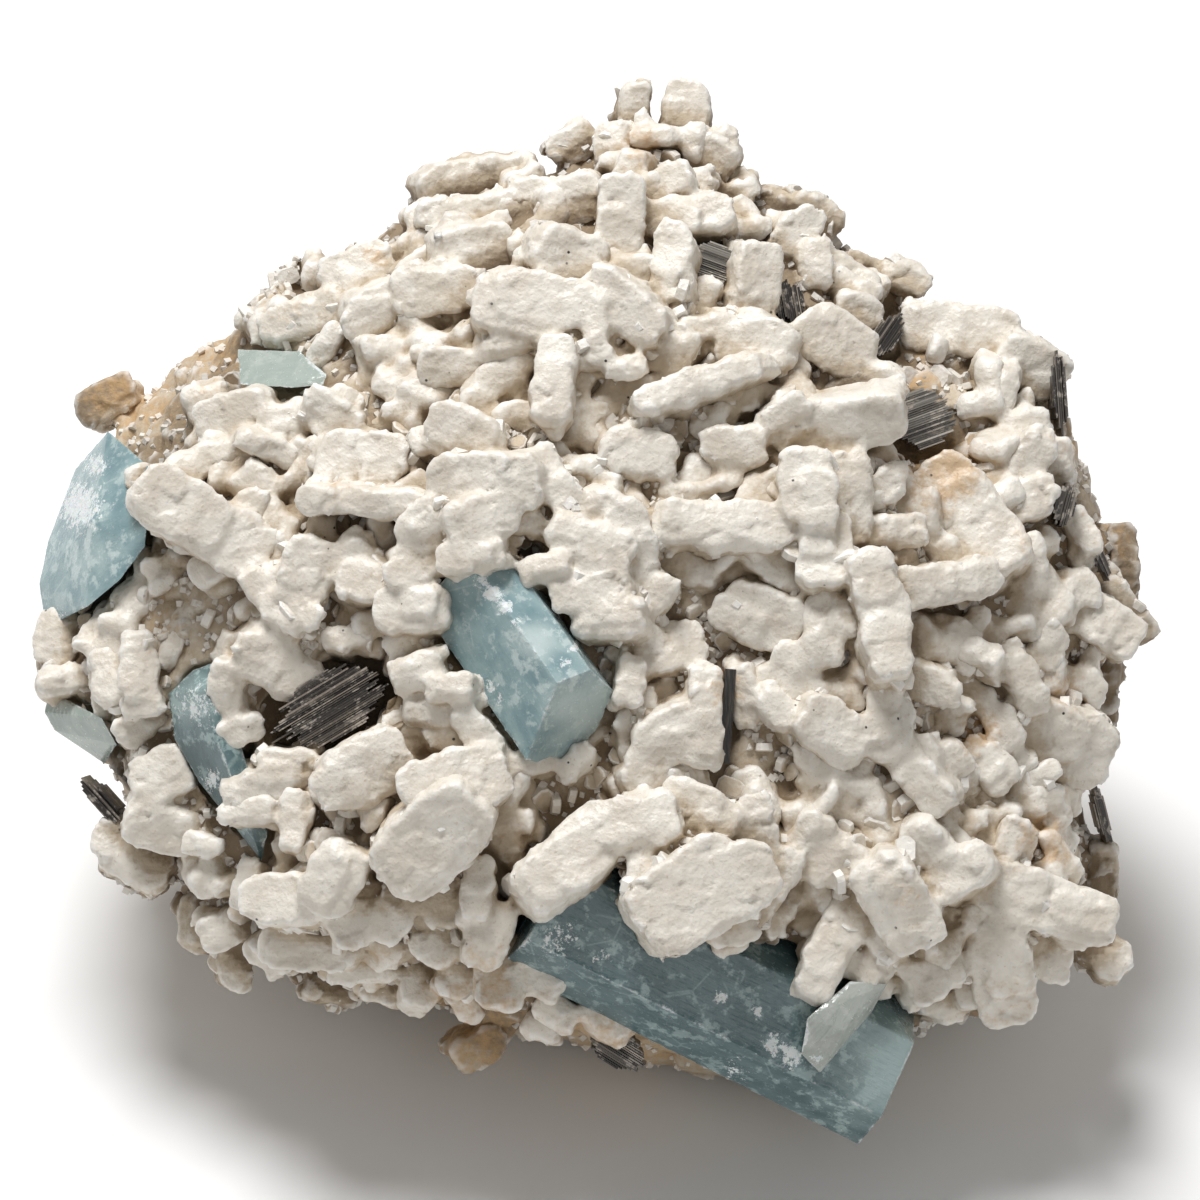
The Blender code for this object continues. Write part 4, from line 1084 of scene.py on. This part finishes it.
def druse(stone, tops, white, sugary):
    """Stubs and sugary grains in the hollows of the rock, thickest where share is 1."""
    plate = seed_crystal("plate", CUT_OUTLINE, ((-0.5, 0.9), (0.34, 1.0), (0.5, 0.8)), 1.5, 1.1, 0.55)
    grain = seed_crystal("grain", SKEW_OUTLINE, ((-0.5, 0.9), (0.5, 1.0)), 1.0, 0.85, 0.8)
    scatter = druse_tree("small crystals")
    points, _ = mesh_arrays(stone.data)
    across, down, lift = sketch_places(points)
    near = np.array([OTHER_SOLIDS.find_nearest(Vector(point))[3] for point in points])
    bare = np.clip(near / DRUSE_GAP - 1, 0, 1) * np.clip(points[:, 2] / MM - DRUSE_BASE, 0, 1)
    front = np.clip((lift / MM + DRUSE_DEPTH) / FRONT_FADE, 0, 1)
    hollow = np.clip((tops[grid_cells(across, down)] - lift - ground(across, down)) / MM, 0, 1)
    found = []
    sheltered = bare * (SUGAR_SHARE + front * (hollow - SUGAR_SHARE))
    for name, share, crystal, density, smallest, largest, upright, seed, finish in (
        ("feldspar_stubs", bare * front * hollow, plate, 6e4, 1.2, 2.4, 0.35, 3, white),
        ("feldspar_sugar", sheltered, grain, 4.5e5, 0.4, 1.1, 0.2, 8, sugary),
    ):
        thing = new_object(name, stone.data.copy())
        carry(thing.data, "share", share)
        found.append(Growth.run(thing, scatter, {
            "Crystal": crystal, "Crystals per square metre": density, "Smallest": smallest * MM,
            "Largest": largest * MM, "Upright share": upright, "Seed": seed, "Finish": finish,
        }))
    for spare in (plate, grain):
        bpy.data.objects.remove(spare, do_unlink=True)
    return found


# Beryl

def beryl(node, name, finish, frosts, pales, turn):
    """A beryl crystal with its edges softened and marked for white wear and painted highlight, and its
    frosted and pale patches marked.
    """
    thing = merged_copy(node, name)
    mesh = bmesh.new()
    mesh.from_mesh(thing.data)
    for axis in range(3):
        way = Vector([float(axis == other) for other in range(3)])
        levels = [corner.co[axis] for corner in mesh.verts]
        for level in np.arange(min(levels) + BERYL_GRAIN * 0.37, max(levels), BERYL_GRAIN):
            parts = mesh.verts[:] + mesh.edges[:] + mesh.faces[:]
            bmesh.ops.bisect_plane(mesh, geom=parts, dist=1e-7, plane_co=way * level, plane_no=way)
    bmesh.ops.triangulate(mesh, faces=mesh.faces)
    mesh.to_mesh(thing.data)
    mesh.free()
    soften(thing, 2, 0.4)
    points, _ = mesh_arrays(thing.data)
    across, down, _ = sketch_places(points)
    carry(thing.data, "frost", patches(across, down, frosts))
    carry(thing.data, "pale", patches(across, down, pales))
    carry(thing.data, "edge", edge_values(thing.data, 2))
    along, side, out = sketch_axes(math.radians(turn), 0.0)
    grown = np.stack([points @ np.array(way) for way in (side, out, along)], axis=1) / MM
    grown[:, 2] *= LINE_STRETCH
    layer = thing.data.attributes.new("grown", "FLOAT_VECTOR", "POINT")
    layer.data.foreach_set("vector", grown.astype(np.float32).ravel())
    return finish_with(thing, finish)


def mica_book(node, tree, finish):
    """A stack of thin mica leaves."""
    across, down, height, length, breadth, turn, thickness = BOOKS[node]
    along, side, out = sketch_axes(math.radians(turn), 0.0)
    thing = new_object(node + "_leaves", bpy.data.meshes.new(node + "_leaves"))
    stack = breadth * SQUARE
    leaves = max(4, round(stack / (0.27 * MM)))
    Growth.run(thing, tree, {
        "Finish": finish, "Length": length * SQUARE, "Width": thickness * MM, "Height": stack,
        "Leaves": leaves, "Seed": across,
    })
    place = spot(across, down, height * MM - thickness * MM * 0.1)
    ways = Matrix((along, -out, side)).transposed().to_4x4()
    sink = Matrix.Translation((0, 0, -stack / 2))
    thing.data.transform(Matrix.Translation(place) @ ways @ sink)
    return thing


# Build

def show(thing, slot, *nodes):
    """Hands a finished piece to the frame."""
    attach(thing, "root")
    if nodes:
        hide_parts(*nodes)


def build():
    relief = relief_tree()
    # The two depths in mm are where the painted shade in the crevices starts and where it is full
    white = feldspar_finish("feldspar crystals", -0.2, 3.0, 0.1)
    sugary = feldspar_finish("sugary feldspar", -1.6, 1.6, 0.25)
    grown = [
        crystal_cluster("feldspar_crystals_" + region, shapes, CRYSTAL_GRAIN, relief, white)
        for region, shapes in CRYSTALS.items()
    ]
    for half in (0, 1):
        name = "feldspar_fill_%d" % half
        grown.append(crystal_cluster(name, gap_crystals(half), FILL_GRAIN, relief, white))
    stone = rock(relief, sugary)
    tops = surroundings(grown + [stone])
    small = druse(stone, tops, white, sugary)
    for thing in grown:
        carry_feldspar(thing, tops, 6)
        show(thing, "feldspar", "feldspar_matrix")
    carry_feldspar(stone, tops, 4)
    show(stone, "feldspar", "feldspar_matrix")
    for thing in small:
        carry_feldspar(thing, tops, 1)
        show(thing, "feldspar")

    clear = beryl_finish(
        "clear aquamarine", (0.22, 0.34, 0.37), (0.37, 0.50, 0.51), (0.60, 0.71, 0.70), 1.0, 30, 0.15
    )
    deep = beryl_finish(
        "deep aquamarine", (0.075, 0.135, 0.145), (0.14, 0.215, 0.23), (0.40, 0.52, 0.51), 1.0, 60, 0.15
    )
    pale = beryl_finish(
        "pale beryl", (0.46, 0.54, 0.49), (0.55, 0.62, 0.57), (0.66, 0.71, 0.66), 0.8, 30, 0.35
    )
    milky = beryl_finish(
        "milky quartz", (0.56, 0.60, 0.55), (0.66, 0.69, 0.64), (0.76, 0.78, 0.74), 0.9, 20, 0.45
    )
    for node, name, slot, finish, frosts, pales, turn in (
        ("aquamarine_centre", "centre_prism", "aquamarine", clear, [
            (483, 582, 9, 1.0), (493, 594, 10, 1.1), (503, 606, 9, 1.1), (515, 622, 7, 0.9),
            (490, 685, 9, 0.9), (500, 700, 8, 0.7), (565, 660, 9, 0.8), (576, 645, 8, 0.8),
            (560, 610, 12, 0.7), (600, 640, 9, 0.7),
        ], [(588, 712, 42, 1.0), (538, 642, 24, 1.1)], -54.8),
        ("aquamarine_long", "long_prism", "aquamarine", deep, [
            (560, 940, 26, 0.6), (600, 955, 14, 0.55), (722, 998, 10, 0.8), (758, 1012, 8, 0.8),
            (775, 1045, 14, 0.9), (792, 1056, 14, 0.9), (735, 1072, 18, 0.6), (910, 1085, 16, 0.6),
        ], [(890, 1065, 62, 1.0)], -27.5),
        ("aquamarine_left", "left_prism", "aquamarine", clear, [
            (80, 505, 30, 0.95), (95, 465, 14, 0.9), (55, 622, 18, 0.7),
        ], [(100, 560, 30, 0.5)], 20),
        ("aquamarine_leaning", "leaning_prism", "aquamarine", deep, [
            (198, 705, 30, 0.66), (212, 780, 14, 0.8),
        ], [(195, 700, 34, 0.8)], -70),
        ("beryl_pale_lower", "pale_prism", "pale_beryl", pale, [], [], -60),
        ("beryl_pale_upper", "pale_plate", "pale_beryl", pale, [], [], 0),
        ("quartz_across", "milky_prism", "quartz", milky, [(815, 1060, 14, 0.6)], [], 50),
    ):
        show(beryl(node, name, finish, frosts, pales, turn), slot, node)

    leaves = leaves_tree()
    dark = mica_finish("dark mica", (0.03, 0.024, 0.02), (0.34, 0.29, 0.24))
    grey = mica_finish("grey mica", (0.17, 0.155, 0.135), (0.56, 0.53, 0.48))
    for node in BOOKS:
        finish = grey if node in ("mica_book_grey", "mica_book_top") else dark
        show(mica_book(node, leaves, finish), "mica", node)
    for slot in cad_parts["schorl_needle"].material_slots:
        slot.link = "OBJECT"
        slot.material = schorl_finish("black schorl")


def studio():
    """A white table, a white room, one large lamp overhead and a camera at the eye point."""
    floor = bpy.data.meshes.new("table")
    reach = 3.0
    corners = [(-reach, -reach, 0), (reach, -reach, 0), (reach, reach, 0), (-reach, reach, 0)]
    floor.from_pydata(corners, [], [(0, 1, 2, 3)])
    table = new_object("table", floor)
    finish = Finish("table white")
    finish.surface(Base_Color=(0.93, 0.93, 0.93, 1.0), Roughness=0.9)
    floor.materials.append(finish.material)

    world = bpy.data.worlds.new("room")
    bpy.context.scene.world = world
    world.use_nodes = True
    back = world.node_tree.nodes["Background"]
    back.inputs["Color"].default_value = (1.0, 0.995, 0.985, 1.0)
    back.inputs["Strength"].default_value = 0.29

    for name, place, size, power in (
        ("overhead", (-0.12, 0.14, 0.75), 0.34, 5.9),
        ("front fill", (0.3, -0.8, 0.6), 0.6, 0.8),
    ):
        lamp = bpy.data.lights.new(name, "AREA")
        lamp.shape = "DISK"
        lamp.size = size
        lamp.energy = power
        thing = new_object(name, lamp)
        thing.location = place
        way = Vector((0, 0, 0.05)) - Vector(place)
        thing.rotation_euler = way.to_track_quat("-Z", "Y").to_euler()

    eye = bpy.data.cameras.new("eye")
    eye.sensor_width = SENSOR
    eye.lens = SENSOR * EYE_DISTANCE / (SKETCH_WIDTH * SQUARE)
    eye.shift_x = (SKETCH_WIDTH / 2 - SKETCH_MIDDLE[0]) / SKETCH_WIDTH
    eye.shift_y = (SKETCH_MIDDLE[1] - SKETCH_WIDTH / 2) / SKETCH_WIDTH
    eye.clip_start = 0.01
    camera = new_object("eye", eye)
    camera.location = EYE
    camera.rotation_euler = (-EYE_WAY).to_track_quat("-Z", "Y").to_euler()
    bpy.context.scene.camera = camera
    bpy.context.scene.view_settings.view_transform = "Standard"


build()
studio()
